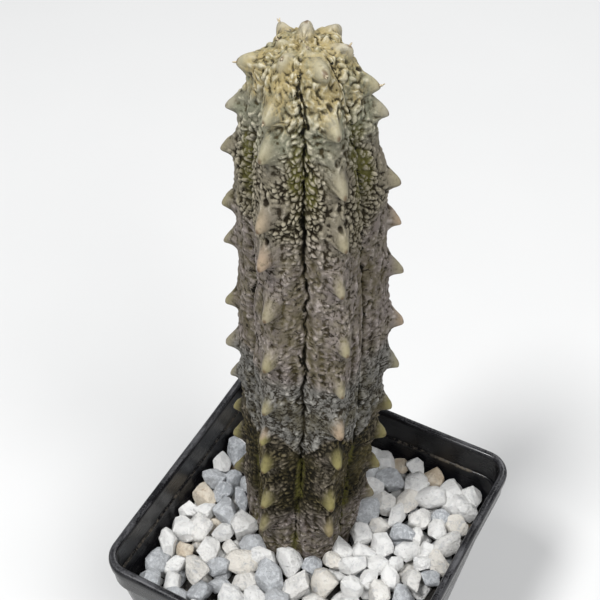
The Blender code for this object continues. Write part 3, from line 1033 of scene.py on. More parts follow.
@dataclass
class EuphorbiaStem:
    """The whole plant: a six-ribbed column with drooping teeth, warts, cracks and a short root."""

    foot: tuple[float, float, float] = (-5.5, 5.4, 0.0)
    bow: tuple[float, float, float] = (1.7, 0.9, 0.0)
    ground: float = 56.0
    apex: float = 186.6
    wedges: int = 84
    wedge_cuts: int = 4
    row_step: float = 0.225
    root_step: float = 2.5
    root_starts: float = 54.0
    spans: tuple[tuple[str, float], ...] = (
        ("euphorbia_crown", 147.0),
        ("euphorbia_middle", 101.0),
        ("euphorbia_foot", 27.0),
    )
    crest_line: tuple[tuple[float, float], ...] = (
        (0.0, 186.6),
        (3.4, 186.2),
        (6.5, 184.9),
        (8.7, 182.5),
        (10.0, 179.2),
        (11.0, 175.3),
        (11.9, 171.0),
        (12.9, 165.5),
        (13.7, 158.0),
        (14.0, 148.0),
        (14.2, 138.0),
        (14.9, 127.0),
        (15.1, 116.0),
        (14.9, 104.0),
        (14.3, 92.0),
        (13.7, 81.0),
        (13.6, 72.0),
        (13.4, 62.0),
        (12.9, 53.0),
        (11.9, 45.0),
        (7.4, 37.0),
        (3.6, 31.0),
        (0.0, 27.0),
    )
    furrow_depths: tuple[tuple[float, float], ...] = (
        (27.0, 0.0),
        (44.0, 0.08),
        (56.0, 0.17),
        (75.0, 0.20),
        (100.0, 0.21),
        (135.0, 0.21),
        (165.0, 0.25),
        (180.0, 0.28),
        (186.6, 0.12),
    )
    furrow_sharpness: float = 1.35
    rib_twist: float = math.radians(5)
    ribs: tuple[tuple[float, tuple[float, ...]], ...] = (
        (-160.0, (181.6, 172.3, 162.3, 149.3, 139.2, 123.2, 111.0, 100.0, 89.3, 80.3, 67.5)),
        (-95.6, (178.2, 171.3, 157.0, 147.7, 134.7, 121.5, 108.0, 96.9, 87.9, 75.0, 65.5)),
        (-41.6, (183.9, 176.5, 164.8, 153.6, 142.2, 127.2, 115.3, 103.1, 91.8, 76.8, 66.0)),
        (22.0, (178.6, 172.7, 157.8, 147.4, 135.3, 121.0, 107.9, 96.0, 86.8, 75.3, 65.0)),
        (82.0, (176.6, 167.4, 159.6, 149.0, 136.8, 124.9, 112.4, 101.2, 89.0, 77.4, 66.2)),
        (142.0, (175.4, 166.8, 156.1, 143.9, 132.5, 120.3, 108.8, 95.1, 84.2, 72.6, 65.0)),
    )
    crown_teeth: tuple[tuple[float, float, float], ...] = (
        (-99.0, 5.3, 0.85),
        (-52.0, 2.4, 0.65),
        (82.0, 9.2, 0.95),
        (108.0, 2.8, 1.0),
        (142.0, 8.6, 0.9),
        (22.0, 6.4, 0.8),
        (-160.0, 3.6, 0.6),
    )
    tooth_out: float = 3.1
    tooth_above: float = 6.4
    tooth_below: float = 4.3
    tooth_half_width: float = 3.3
    tooth_droop: float = 0.42
    tooth_droop_play: float = 0.2
    tooth_tip: float = 0.36
    tooth_foot: float = 0.60
    tooth_play: float = 0.12
    tooth_stray: float = 2.5
    leafy_reach: float = 15.5
    tooth_seed: int = 7
    blush_seed: int = 8
    leaf_seed: int = 23
    leaf_counts: tuple[int, ...] = (0, 1, 1, 2, 2)
    leaf_lean: float = 0.7
    leaf_lengths: tuple[float, float] = (0.7, 1.3)
    leaf_feet: tuple[float, float] = (0.16, 0.26)
    leaf_tip: float = 0.08
    leaf_sunk: float = 0.25
    leaf_crumple: float = 0.16
    leaf_creases: float = 0.7
    pit_above: float = 3.4
    pit_strengths: tuple[float, ...] = (0.0, 0.5, 0.8, 1.0)
    swell_size: float = 11.0
    swell_height: float = 0.35
    swell_fade: float = 4.0
    crown_zone: tuple[float, float] = (162.0, 184.0)
    warts_start: tuple[float, float] = (148.0, 157.0)
    warts_end: tuple[float, float] = (164.0, 178.0)
    warts_dip: float = 4.0
    ash_top: tuple[float, float] = (111.0, 118.0)
    murky_top: float = 99.0
    murky_dip: float = 10.0
    murky_edge: float = 1.5
    murky_foot: tuple[float, float] = (64.0, 72.0)
    upper_moss: tuple[float, float] = (167.0, 9.5)
    lower_moss_top: tuple[float, float] = (86.0, 94.0)
    upper_soot: tuple[float, float] = (159.0, 8.0)
    flank_zone: tuple[float, float, float, float] = (70.0, 80.0, 150.0, 176.0)
    wart_width: float = 1.02
    wart_depth: float = 0.42
    crack_depth: float = 0.9
    pit_depth: float = 0.55

    def profile(self) -> tuple[Array, Array, Array]:
        """The line of the rib crests, apex first.

        Returns:
            Its radii, its heights and the length along it to each, in mm.
        """
        line = [Vector(p) for p in self.crest_line]
        line = [2 * line[0] - line[1]] + line + [2 * line[-1] - line[-2]]
        found = []
        for before, start, end, after in zip(line, line[1:], line[2:], line[3:]):
            step = self.row_step if start.y > self.root_starts else self.root_step
            count = max(1, round((end - start).length / step))
            for i in range(count):
                t = i / count
                found.append(
                    0.5
                    * (
                        2 * start
                        + (end - before) * t
                        + (2 * before - 5 * start + 4 * end - after) * t**2
                        + (3 * start - before - 3 * end + after) * t**3
                    )
                )
        found.append(line[-2])
        radius = np.array([max(p.x, 0.0) for p in found])
        height = np.array([p.y for p in found])
        steps = np.hypot(np.diff(radius), np.diff(height))
        return radius, height, np.concatenate([[0.0], np.cumsum(steps)])

    def turned(self, top: float, bottom: float) -> bmesh.types.BMesh:
        """One span of the stem as a plain turned body, closed where the next one starts.

        Args:
            top: Where the span starts, in mm above the pot's foot.
            bottom: Where it ends.

        Returns:
            The body.
        """
        radius, height, _ = self.profile()
        first, last = np.searchsorted(-height, [-top, -bottom])
        span = slice(first, min(last, len(height) - 1) + 1)
        bm = bmesh.new()
        line = [bm.verts.new((r * MM, 0.0, z * MM)) for r, z in zip(radius[span], height[span])]
        for upper, lower in zip(line, line[1:]):
            bm.edges.new((upper, lower))
        bmesh.ops.spin(
            bm,
            geom=bm.verts[:] + bm.edges[:],
            cent=(0.0, 0.0, 0.0),
            axis=(0.0, 0.0, 1.0),
            angle=2 * math.pi,
            steps=self.wedges,
            use_merge=True,
        )
        bmesh.ops.remove_doubles(bm, verts=bm.verts, dist=0.001 * MM)
        level = [e for e in bm.edges if abs(e.verts[0].co.z - e.verts[1].co.z) < 0.001 * MM]
        bmesh.ops.subdivide_edges(bm, edges=level, cuts=self.wedge_cuts)
        rim = [edge for edge in bm.edges if edge.is_boundary]
        bmesh.ops.holes_fill(bm, edges=rim, sides=0)
        bmesh.ops.recalc_face_normals(bm, faces=bm.faces)
        for edge in rim:
            edge.smooth = False
        return bm

    def teeth(self) -> list[tuple[float, float, float, float]]:
        """Every tooth, first the young ones round the apex.

        Returns:
            The direction, length from the apex along the skin, size and droop of each.
        """
        _, height, arc = self.profile()
        draw = random.Random(self.tooth_seed)
        found = [(math.radians(a), reach, size, 0.0) for a, reach, size in self.crown_teeth]
        for direction, levels in self.ribs:
            for level in levels:
                size = 1 + self.tooth_play * draw.uniform(-1, 1)
                droop = self.tooth_droop + self.tooth_droop_play * draw.uniform(-1, 1)
                aside = math.radians(direction + self.tooth_stray * draw.uniform(-1, 1))
                along = float(np.interp(-level, -height, arc))
                found.append((aside, along - droop * size * self.tooth_out, size, droop))
        return found

    def across_furrow(self, turn: Array) -> tuple[Array, Array, Array]:
        """Where each direction lies between two ribs.

        Args:
            turn: Directions, in radians.

        Returns:
            The furrow's number, the share of the way across it, and its width in radians.
        """
        crests = np.sort(np.radians([direction for direction, _ in self.ribs]))
        crests = np.append(crests, crests[0] + 2 * math.pi)
        turn = (turn - crests[0]) % (2 * math.pi) + crests[0]
        rib = np.clip(np.searchsorted(crests, turn, side="right") - 1, 0, len(self.ribs) - 1)
        width = crests[rib + 1] - crests[rib]
        return rib, (turn - crests[rib]) / width, width

    def furrow_share(self, turn: Array) -> Array:
        """How far into its furrow each direction lies: 0 on a rib's crest, 1 mid-furrow."""
        _, share, _ = self.across_furrow(turn)
        return (1 - np.abs(1 - 2 * share)) ** self.furrow_sharpness

    def shape(self, mesh: bpy.types.Mesh) -> list[tuple[Vector, Vector]]:
        """Moves the turned body into the stem's form and keeps the fields its skin needs.

        Args:
            mesh: The turned body.

        Returns:
            The tip of each tooth near the apex, with the way it points.
        """
        points = points_of(mesh) / MM
        radius, height, arc = self.profile()
        crest = np.hypot(points[:, 0], points[:, 1])
        level = points[:, 2]
        turn = np.arctan2(points[:, 1], points[:, 0])
        rib_turn = turn - self.rib_twist * ((level - self.ground) / (self.apex - self.ground) - 0.5)
        along = np.interp(-level, -height, arc)
        fall = np.interp(along, arc, np.gradient(height, arc))
        widen = np.interp(along, arc, np.gradient(radius, arc))
        size = np.hypot(fall, widen)
        fall, widen = fall / size, widen / size

        furrow = self.furrow_share(rib_turn)
        out = crest * (1 - np.interp(level, *np.array(self.furrow_depths).T) * furrow)
        rise, slide, fields, tips = self.toothed(points, rib_turn, crest, along)
        swells = roughness_at(points, self.swell_size) * self.swell_height
        rise = rise + swells * np.clip(crest / self.swell_fade, 0, 1)

        place = np.column_stack((out * np.cos(turn), out * np.sin(turn), level))
        skin = SkinPoints(place, rib_turn, level, crest, furrow, roughness_at(place + 40.0, 4.5))
        fields |= self.zones(skin)
        relief, cracks = self.relief(skin, fields)
        # form: how far each vertex stands out of its neighbours, for the bump and for the painted highlight
        # and shade of the skin.
        form = 0.5 + standing_out(mesh, relief, 12) / self.wart_depth + 0.5 * standing_out(mesh, relief, 90)
        fields |= cracks | {"form": np.clip(form, 0, 1)}
        for name, values in fields.items():
            write_attribute(mesh, name, values)

        rise = rise + relief * ease(self.root_starts, self.ground, level)
        rise_share = np.clip((level - self.ground) / (self.apex - self.ground), 0, 1)
        shift = np.array(self.foot) + np.sin(math.pi * rise_share)[:, None] * np.array(self.bow)
        out = out - rise * fall + slide * widen
        level = level + rise * widen + slide * fall
        moved = np.column_stack((out * np.cos(turn) + shift[:, 0], out * np.sin(turn) + shift[:, 1], level))
        set_points(mesh, moved * MM)
        way = np.column_stack((-fall * np.cos(turn), -fall * np.sin(turn), widen))
        return [(Vector(moved[i]) * MM, Vector(way[i])) for i in tips]

    def toothed(
        self, points: Array, turn: Array, crest: Array, along: Array
    ) -> tuple[Array, Array, dict[str, Array], list[int]]:
        """The teeth, and the leaf scars above them.

        Args:
            points: The turned body's vertices, in mm.
            turn: Their directions, measured from the ribs.
            crest: Radius of the rib crests at each.
            along: Length from the apex along the skin to each.

        Returns:
            How far each vertex rises and how far it slides down the skin, in mm, the fields of
            teeth and scars by name, and the vertex at the tip of each tooth that may have a leaf.
        """
        rise, slide, tooth, tip, pit, blush = (np.zeros(len(points)) for _ in range(6))
        draw = random.Random(self.blush_seed)
        frayed = 0.7 * roughness_at(points, 1.1)
        tips = []
        for aside, reach, share, droop in self.teeth():
            lengthwise = (along - reach) / share
            lengthwise = lengthwise / np.where(lengthwise < 0, self.tooth_above, self.tooth_below)
            across = (turn - aside + math.pi) % (2 * math.pi) - math.pi
            across = across * crest / (share * self.tooth_half_width)
            distance = np.hypot(lengthwise, across)
            form = 0.58 * np.exp(-((distance / self.tooth_tip) ** 2.6))
            form += 0.42 * np.exp(-((distance / self.tooth_foot) ** 1.7))
            bump = share * self.tooth_out * form
            slide = np.where(bump > rise, (0.12 + 0.7 * droop * form) * bump, slide)
            rise = np.maximum(rise, bump)
            near = ease(0.62, 0.10, np.hypot(np.where(lengthwise < 0, 0.9, 1.0) * lengthwise, 1.1 * across))
            blush = np.where(near > tooth, draw.random(), blush)
            tooth = np.maximum(tooth, near)
            tip = np.maximum(tip, ease(0.13, 0.05, distance))
            off = draw.uniform(-0.5, 0.5), draw.uniform(-0.5, 0.5)
            up = (along - reach + self.pit_above * share + off[1]) / 0.75
            scar = ease(1.1, 0.3, np.hypot(across * 5.5 + off[0], up) + frayed)
            pit = np.maximum(pit, scar * draw.choice(self.pit_strengths) * (droop > 0))
            if reach < self.leafy_reach:
                tips.append(int(np.argmin(distance)))
        return rise, slide, {"tooth": tooth, "tip": tip, "pit": pit, "blush": blush}, tips

    def zones(self, skin: SkinPoints) -> dict[str, Array]:
        """How far each point belongs to each part of the skin, with ragged edges between them.

        Args:
            skin: The points.

        Returns:
            Shares of 0 to 1 by name.
        """
        level, furrow, patchy = skin.level, skin.furrow, skin.patchy
        broad = roughness_at(skin.place, 9.0)
        ragged = level + 4.0 * broad + 2.0 * patchy + roughness_at(skin.place + 90.0, 1.6)
        low, high = (edge - self.warts_dip * furrow for edge in self.warts_start)
        warty = ease(low, high, ragged) * ease(*self.warts_end[::-1], ragged)
        warty = warty * np.clip(0.75 + 0.6 * furrow + 0.5 * patchy, 0, 1)
        line = self.murky_top - self.murky_dip * furrow
        ashen = ease(*self.ash_top[::-1], ragged) * ease(line, line + self.murky_edge, level + patchy)
        murky = ease(line + self.murky_edge, line, level + patchy) * ease(*self.murky_foot, ragged)
        murky = murky * np.clip(0.8 + 0.3 * furrow + 0.4 * patchy, 0, 1)

        def band(middle: float, width: float) -> Array:
            """A soft band round a height."""
            return np.exp(-(((level - middle) / width) ** 2))

        moss = ease(0.12, 0.80, furrow) * band(*self.upper_moss) * np.clip(0.75 + 1.2 * patchy, 0, 1)
        lower = ease(0.6, 1.0, furrow) * ease(*self.lower_moss_top[::-1], level)
        moss += lower * np.clip(0.7 + 1.2 * patchy, 0, 1)
        soot = ease(0.35, 0.85, furrow + 0.3 * patchy) * murky
        soot += ease(0.82, 1.0, furrow + 0.1 * patchy) * band(*self.upper_soot)
        from_level, full_level, until_level, gone_level = self.flank_zone
        lit = ease(gone_level, until_level, level) * ease(from_level, full_level, level)
        return {
            "crown": ease(*self.crown_zone, ragged),
            "warty": warty,
            "ashen": ashen,
            "murky": murky,
            "moss": np.clip(moss, 0, 1),
            "stain": np.clip(0.4 + 0.8 * broad + 0.45 * furrow, 0, 1),
            "soot": np.clip(soot, 0, 1),
            # flank: the rib sides near their crests, for streaks in the relief and a painted light strip in
            # the colour.
            "flank": ease(0.6, 0.2, furrow) * lit,
            "rib": 1 - self.open_skin(skin),
        }

    def open_skin(self, skin: SkinPoints) -> Array:
        """How open to warts the skin is: little on a rib's crest, fully in a furrow."""
        return np.clip(1.7 * skin.furrow + 0.8 * skin.patchy + 0.08, 0.12, 1)

    def relief(self, skin: SkinPoints, fields: dict[str, Array]) -> tuple[Array, dict[str, Array]]:
        """Warts, puffs, wrinkles, cracks and scars.

        Args:
            skin: The points.
            fields: The zones and teeth that they lie in.

        Returns:
            How far each point stands out in mm, and more fields by name.
        """
        place, furrow, patchy = skin.place, skin.furrow, skin.patchy
        crown, warty, ashen, murky = (fields[name] for name in ("crown", "warty", "ashen", "murky"))
        bent = place + 0.55 * swirl_at(place, 2.4) + 0.14 * swirl_at(place + 13.0, 0.9)
        packed, chance = lumps_at(bent * (1.0, 1.0, 0.9), self.wart_width)
        packed = packed * ease(0.05, 0.3, chance)
        hollow = (1 + roughness_at(bent * (1.0, 1.0, 0.65) + 31.0, 2.4, "VORONOI_F1")) / 2
        hollow = ease(0.42, 0.16, hollow) * ease(0.95, 0.5, furrow)
        warts = (0.50 + 0.35 * chance) * (1 - (1 - packed) ** 2) * self.open_skin(skin) - 0.45 * hollow
        puffs = 0.50 * billow_at(bent * (1.0, 1.0, 0.62), 2.9)
        puffs += 0.50 * billow_at(bent * (1.0, 1.0, 0.8) + 9.0, 1.35) + 0.22 * billow_at(bent + 5.0, 0.8)
        topmost = ease(0.0, 0.5, crown) * np.clip(0.75 + 0.9 * patchy, 0.25, 1.1)
        worm = ease(0.30, 0.05, np.abs(roughness_at(bent * (1.0, 1.0, 0.7), 1.05)))
        worm *= ease(-0.20, 0.20, roughness_at(place + 70.0, 2.6))
        folds = roughness_at(place * (1.0, 1.0, 0.28) + 33.0, 1.5)
        calm = np.clip(1 - crown - warty - murky, 0, 1)

        height = warts * warty + 0.90 * puffs * topmost * (0.45 + 0.65 * np.clip(1.4 * furrow, 0, 1))
        height += (0.20 * worm + 0.45 * packed * (0.4 + 0.6 * chance)) * murky
        height += 0.28 * roughness_at(bent * (1.0, 1.0, 0.75) + 57.0, 2.1)
        height += (0.24 - 0.10 * ashen) * roughness_at(bent + 21.0, 1.1)
        height += (0.16 + 0.24 * patchy) * calm * packed
        height += 0.62 * folds * ease(0.02, 0.35, furrow) * np.clip(calm + 0.3, 0, 1)
        line = self.murky_top - self.murky_dip * furrow
        height += 0.45 * ease(line - 0.6, line + 0.6, skin.level + patchy) * ease(0.15, 0.5, furrow)
        height *= 1 - 0.75 * fields["tooth"] ** 1.5
        crack, cracks = self.mid_crack(skin)
        height -= self.crack_depth * crack + self.pit_depth * fields["pit"]
        return height, cracks | {"chance": chance}

    def mid_crack(self, skin: SkinPoints) -> tuple[Array, dict[str, Array]]:
        """The dark crack that wanders down the middle of each furrow, and its branches.

        Args:
            skin: The points.

        Returns:
            How deep in a crack each point is, 0 to 1, and by name how far it is from each line
            in mm and how wide that line is there.
        """
        number, share, width = self.across_furrow(skin.turn)
        beside = (share - 0.5) * width * skin.crest * 0.8
        lane = np.column_stack((number * 17.3, np.zeros(len(number)), skin.level))
        main = 0.9 * roughness_at(lane, 9.0) + 0.6 * roughness_at(lane + 3.1, 2.6)
        branch = main + 1.8 * roughness_at(lane + 9.7, 4.5) + 0.3 * roughness_at(lane + 7.7, 1.2)
        there = 0.55 + 0.45 * ease(-0.35, 0.15, roughness_at(lane + 21.0, 10.0))
        there = there * (0.75 + 0.5 * roughness_at(lane + 5.3, 2.2))
        also = 0.75 * ease(-0.05, 0.3, roughness_at(lane + 33.0, 7.0))
        inward = ease(3.5, 8.0, skin.crest) * ease(54.0, 62.0, skin.level)
        inward = inward * ease(0.42, 0.3, np.abs(share - 0.5))
        found = {
            "crack_off": beside - main,
            "crack_there": there * inward,
            "branch_off": beside - branch,
            "branch_there": also * inward,
        }
        groove = np.exp(-(((beside - main) / 0.34) ** 2)) * there
        return np.maximum(groove, np.exp(-(((beside - branch) / 0.28) ** 2)) * also) * inward, found

    def build(self) -> bpy.types.Object:
        """Builds the stem in its spans, and the withered leaves at its topmost teeth.

        Returns:
            The leaves, the last piece made.
        """
        skin = EuphorbiaSkin().material()
        top = self.crest_line[0][1]
        tips = []
        for name, bottom in self.spans:
            span = add_piece(name, self.turned(top, bottom), skin, "stem")
            found = self.shape(span.data)
            tips = tips or found
            top = bottom
            logging.info("%s: %d faces", name, len(span.data.polygons))
        return self.leaves(tips)

    def leaves(self, tips: list[tuple[Vector, Vector]]) -> bpy.types.Object:
        """Small withered leaves, each a bent and pinched cone on a tooth.

        Args:
            tips: The tip of each tooth that has one, and the way it points.

        Returns:
            All of them as one piece.
        """
        draw = random.Random(self.leaf_seed)
        bm = bmesh.new()
        for spot, way in tips:
            for _ in range(draw.choice(self.leaf_counts)):
                lean = Vector([draw.uniform(-self.leaf_lean, self.leaf_lean) for _ in range(3)])
                aim = (way + lean).normalized().to_track_quat("Z", "Y").to_matrix().to_4x4()
                start = Matrix.Translation(spot - way * self.leaf_sunk * MM)
                length = draw.uniform(*self.leaf_lengths) * MM
                made = bmesh.ops.create_cone(
                    bm,
                    cap_ends=True,
                    segments=7,
                    radius1=draw.uniform(*self.leaf_feet) * MM,
                    radius2=self.leaf_tip * MM,
                    depth=length,
                    matrix=start @ aim @ Matrix.Translation((0, 0, length / 2)),
                )
                edges = list({edge for vert in made["verts"] for edge in vert.link_edges})
                bmesh.ops.subdivide_edges(bm, edges=edges, cuts=2, use_grid_fill=True)
        for vert in bm.verts:
            vert.co += noise.noise_vector(vert.co / (self.leaf_creases * MM)) * self.leaf_crumple * MM
        return add_piece("dried_leaves", bm, DriedLeaf().material())

    def near_ground(self, turn: Array) -> Array:
        """Radius of the stem's outline where it meets the stones.

        Args:
            turn: Directions, in radians.

        Returns:
            The radius in each, in metres.
        """
        share = self.furrow_share(turn + self.rib_twist / 2)
        depth = np.interp(self.ground, *np.array(self.furrow_depths).T)
        radius, height, _ = self.profile()
        return np.interp(-self.ground, -height, radius) * (1 - depth * share) * MM


@dataclass
class StoneDressing:
    """The dressing: a bed of grit, a layer of stones half seen through the gaps, and the top layer."""

    pot: NurseryPot
    stem: EuphorbiaStem
    bed_top: float = 53.0 * MM
    bottom: float = 44.3 * MM
    grit_top: float = 50.0 * MM
    count: int = 138
    small: float = 2.0 * MM
    usual: float = 2.75 * MM
    large: float = 3.9 * MM
    lean: float = 0.84
    seed: int = 41
    lift_seed: int = 42
    under_seed: int = 48
    rounds: int = 90
    push: float = 0.5
    packing: float = 0.92
    white_share: float = 0.62
    grey_share: float = 0.28
    top_lift: tuple[float, float] = (0.05, 0.45)
    top_spread: float = 0.34
    under_count: int = 120
    under_depth: float = 1.6 * MM
    under_lift: float = -0.55
    under_play: float = 0.4 * MM
    under_scale: float = 0.94
    under_spread: float = 2.0
    wall_gap: float = 0.2 * MM
    ball: float = 1.12
    facets: int = 13
    facet_scatter: float = 0.26
    facet_reach: tuple[float, float] = (0.56, 0.94)
    flat_within: float = math.radians(9)
    wear: float = 0.05
    merge_distances: tuple[float, ...] = (0.004, 0.002, 0.001, 0.0005, 0.0002)
    stretches: tuple[tuple[float, float], ...] = ((1.08, 1.5), (0.86, 1.08), (0.74, 0.98))
    tilt: float = 0.5
    roughness: float = 0.055
    chip_size: float = 0.55
    grit_rings: int = 14
    grit_lumps: float = 0.9 * MM
    grit_lump_size: float = 1.9 * MM
    grit_gap: float = 0.45 * MM
    stem_gap: float = 0.35 * MM

    def kept_in_pot(self, spots: Array, margins: Array | float, height: float) -> Array:
        """Moves each spot that is nearer to the pot's wall than its margin back inside.

        Args:
            spots: Places from above.
            margins: How near to the wall each may be.
            height: The level to compare them at.

        Returns:
            The new places.
        """
        corner = self.pot.corner - self.pot.rim_width
        straight = self.pot.wall_side(height) / 2 - corner
        beyond = np.clip(np.abs(spots) - straight, 0, None)
        distance = np.maximum(np.hypot(beyond[:, 0], beyond[:, 1]), 1e-9)
        share = np.minimum(1, (corner - margins) / distance)
        return np.copysign(np.minimum(np.abs(spots), straight) + beyond * share[:, None], spots)

    def kept_off_stem(self, spots: Array, margins: Array) -> Array:
        """Moves each spot that is nearer to the stem than its margin away from it.

        Args:
            spots: Places from above.
            margins: How near to the stem each may be.

        Returns:
            The new places.
        """
        foot = np.array(self.stem.foot[:2]) * MM
        away = spots - foot
        reach = self.stem.near_ground(np.arctan2(away[:, 1], away[:, 0])) + margins
        distance = np.hypot(away[:, 0], away[:, 1])
        return foot + away * (np.maximum(distance, reach) / distance)[:, None]

    def spread(self, count: int, draw: random.Random) -> tuple[Array, Array]:
        """Stones pushed apart until they lie side by side.

        Args:
            count: How many.
            draw: Where the chances come from.

        Returns:
            Their middles and radii.
        """
        radii = np.array([draw.triangular(self.small, self.large, self.usual) for _ in range(count)])
        half = self.pot.wall_side(self.bed_top) / 2
        spots = np.array([[draw.uniform(-half, half) for _ in range(2)] for _ in radii])
        reach = self.packing * (radii[:, None] + radii[None, :])
        margins = self.lean * radii
        for _ in range(self.rounds):
            apart = spots[:, None] - spots[None, :]
            distance = np.hypot(apart[..., 0], apart[..., 1]) + np.eye(len(spots))
            push = np.clip(reach - distance, 0, None) / distance
            np.fill_diagonal(push, 0)
            spots = spots + self.push * (apart * push[..., None]).sum(axis=1)
            spots = self.kept_off_stem(self.kept_in_pot(spots, margins, self.bed_top), margins)
        return np.round(self.kept_in_pot(spots, margins, self.bed_top), 6), radii

    def merged(self, bm: bmesh.types.BMesh) -> bmesh.types.BMesh:
        """Merges a stone's closest points, by the largest distance that keeps its surface closed.

        Args:
            bm: The stone, which is freed when another takes its place.

        Returns:
            The stone with fewer points.
        """
        for distance in self.merge_distances:
            merged = bm.copy()
            bmesh.ops.remove_doubles(merged, verts=merged.verts, dist=distance)
            if all(len(edge.link_faces) == 2 for edge in merged.edges):
                bm.free()
                return merged
            merged.free()
        return bm

    def stone(self, draw: random.Random, spread: float) -> bmesh.types.BMesh:
        """One broken stone of radius 1: a ball cut flat on many sides, its edges worn.

        Args:
            draw: Where the chances come from.
            spread: Longest edge left before the surface is roughened.

        Returns:
            The stone, lying as it will in the heap.
        """
        bm = bmesh.new()
        bmesh.ops.create_icosphere(bm, subdivisions=1, radius=self.ball)
        golden = math.pi * (3 - math.sqrt(5))
        for step in range(self.facets):
            lift = 1 - 2 * (step + 0.5) / self.facets
            out = math.sqrt(1 - lift**2)
            way = Vector((out * math.cos(golden * step), out * math.sin(golden * step), lift))
            way += Vector([draw.gauss(0, self.facet_scatter) for _ in range(3)])
            way.normalize()
            depth = draw.uniform(*self.facet_reach)
            everything = bm.verts[:] + bm.edges[:] + bm.faces[:]
            bmesh.ops.bisect_plane(bm, geom=everything, plane_co=way * depth, plane_no=way, clear_outer=True)
            bmesh.ops.holes_fill(bm, edges=[e for e in bm.edges if e.is_boundary], sides=0)
        bmesh.ops.dissolve_limit(bm, angle_limit=self.flat_within, verts=bm.verts, edges=bm.edges)
        bmesh.ops.bevel(
            bm,
            geom=bm.edges[:],
            offset=self.wear,
            segments=2,
            profile=0.5,
            affect="EDGES",
            clamp_overlap=True,
            material=-1,
        )
        bm = self.merged(bm)
        bmesh.ops.triangulate(bm, faces=bm.faces)
        bmesh.ops.subdivide_edges(bm, edges=[e for e in bm.edges if e.calc_length() > spread], cuts=1)
        bmesh.ops.triangulate(bm, faces=bm.faces)
        stretch = Vector([draw.uniform(*limits) for limits in self.stretches])
        lean = [draw.uniform(-self.tilt, self.tilt) for _ in range(2)]
        tilt = Euler((*lean, draw.uniform(0, 2 * math.pi)))
        bmesh.ops.scale(bm, vec=stretch, verts=bm.verts)
        bmesh.ops.rotate(bm, cent=(0, 0, 0), matrix=tilt.to_matrix(), verts=bm.verts)
        chipped = Vector([draw.uniform(-50, 50) for _ in range(3)])
        for vert in bm.verts:
            vert.co += noise.noise_vector(vert.co / self.chip_size + chipped) * self.roughness
        return bm

    def sort(self, chance: float) -> Marble:
        """Picks a sort of marble.

        Args:
            chance: A number of 0 to 1.

        Returns:
            The sort.
        """
        if chance < self.white_share:
            return Marble.WHITE
        return Marble.GREY if chance < self.white_share + self.grey_share else Marble.TAN

    def heap(
        self, name: str, spots: Array, radii: Array, levels: Array, spread: float, draw: random.Random
    ) -> bmesh.types.BMesh:
        """Stones at these places as one mesh, with their sort and tone on each vertex.

        Args:
            name: Name of the heap, for the log.
            spots: Their middles from above.
            radii: Their radii.
            levels: The heights of their middles.
            spread: Longest edge left on a stone of radius 1.
            draw: Where the chances come from.

        Returns:
            The heap.
        """
        bm = bmesh.new()
        sorts = bm.verts.layers.float.new("sort")
        tones = bm.verts.layers.float.new("tone")
        carrier = bpy.data.meshes.new("carrier")
        for spot, radius, level in zip(spots, radii, levels):
            sort = self.sort(draw.random())
            tone = draw.random()
            stone = self.stone(draw, spread)
            place = Matrix.Translation((spot[0], spot[1], level)) @ Matrix.Scale(radius, 4)
            bmesh.ops.transform(stone, matrix=place, verts=stone.verts)
            corners = np.array([vert.co for vert in stone.verts])
            inward = self.kept_in_pot(corners[:, :2], self.wall_gap, corners[:, 2].min()) - corners[:, :2]
            sideways = inward[np.abs(inward).argmax(axis=0), (0, 1)]
            bmesh.ops.translate(stone, vec=(*sideways, 0.0), verts=stone.verts)
            stone.to_mesh(carrier)
            stone.free()
            before = len(bm.verts)
            bm.from_mesh(carrier)
            bm.verts.ensure_lookup_table()
            for vert in bm.verts[before:]:
                vert[sorts] = sort.value
                vert[tones] = tone
        bpy.data.meshes.remove(carrier)
        logging.info("%s: %d stones", name, len(spots))
        return bm

    def grit(self) -> bmesh.types.BMesh:
        """The bed: a ring between the pot's wall and the stem, rough on top.

        Returns:
            Its shape.
        """
        count = 4 * (self.pot.steps + self.pot.runs)
        turns = np.linspace(-math.pi, math.pi, count, endpoint=False)
        reach = self.stem.near_ground(turns) + self.stem_gap
        ways = np.column_stack((reach * np.cos(turns), reach * np.sin(turns)))
        foot = Vector(self.stem.foot) * MM
        corner = self.pot.corner - self.pot.rim_width

        def hole(height: float) -> list[Vector]:
            """The stem's outline at a height, with a little room."""
            ring = [foot + Vector((*way, height)) for way in ways]
            return sorted(ring, key=lambda p: math.atan2(p.y, p.x))

        def wall(height: float) -> list[Vector]:
            """The pot's inner outline at a height, with a little room."""
            side = self.pot.wall_side(height) - 2 * self.grit_gap
            return round_outline(side, corner, height, self.pot.steps, self.pot.runs)

        bm = bmesh.new()
        ring = bmesh.ops.create_circle(bm, segments=count, radius=1.0)["verts"]
        inner, outer = hole(self.grit_top), wall(self.grit_top)
        set_ring(ring, inner)
        edges = list(bm.edges)
        for part in range(1, self.grit_rings + 1):
            edges = next_ring(bm, edges, [a.lerp(b, part / self.grit_rings) for a, b in zip(inner, outer)])
        edges = next_ring(bm, edges, wall(self.bottom))
        next_ring(bm, edges, hole(self.bottom))
        loops = [e for e in bm.edges if e.is_boundary]
        bmesh.ops.bridge_loops(bm, edges=loops)
        for vert in bm.verts:
            if vert.co.z > self.grit_top - 0.01 * MM and not vert.is_boundary:
                vert.co.z += self.grit_lumps * noise.noise(vert.co / self.grit_lump_size)
        bmesh.ops.recalc_face_normals(bm, faces=bm.faces)
        return bm

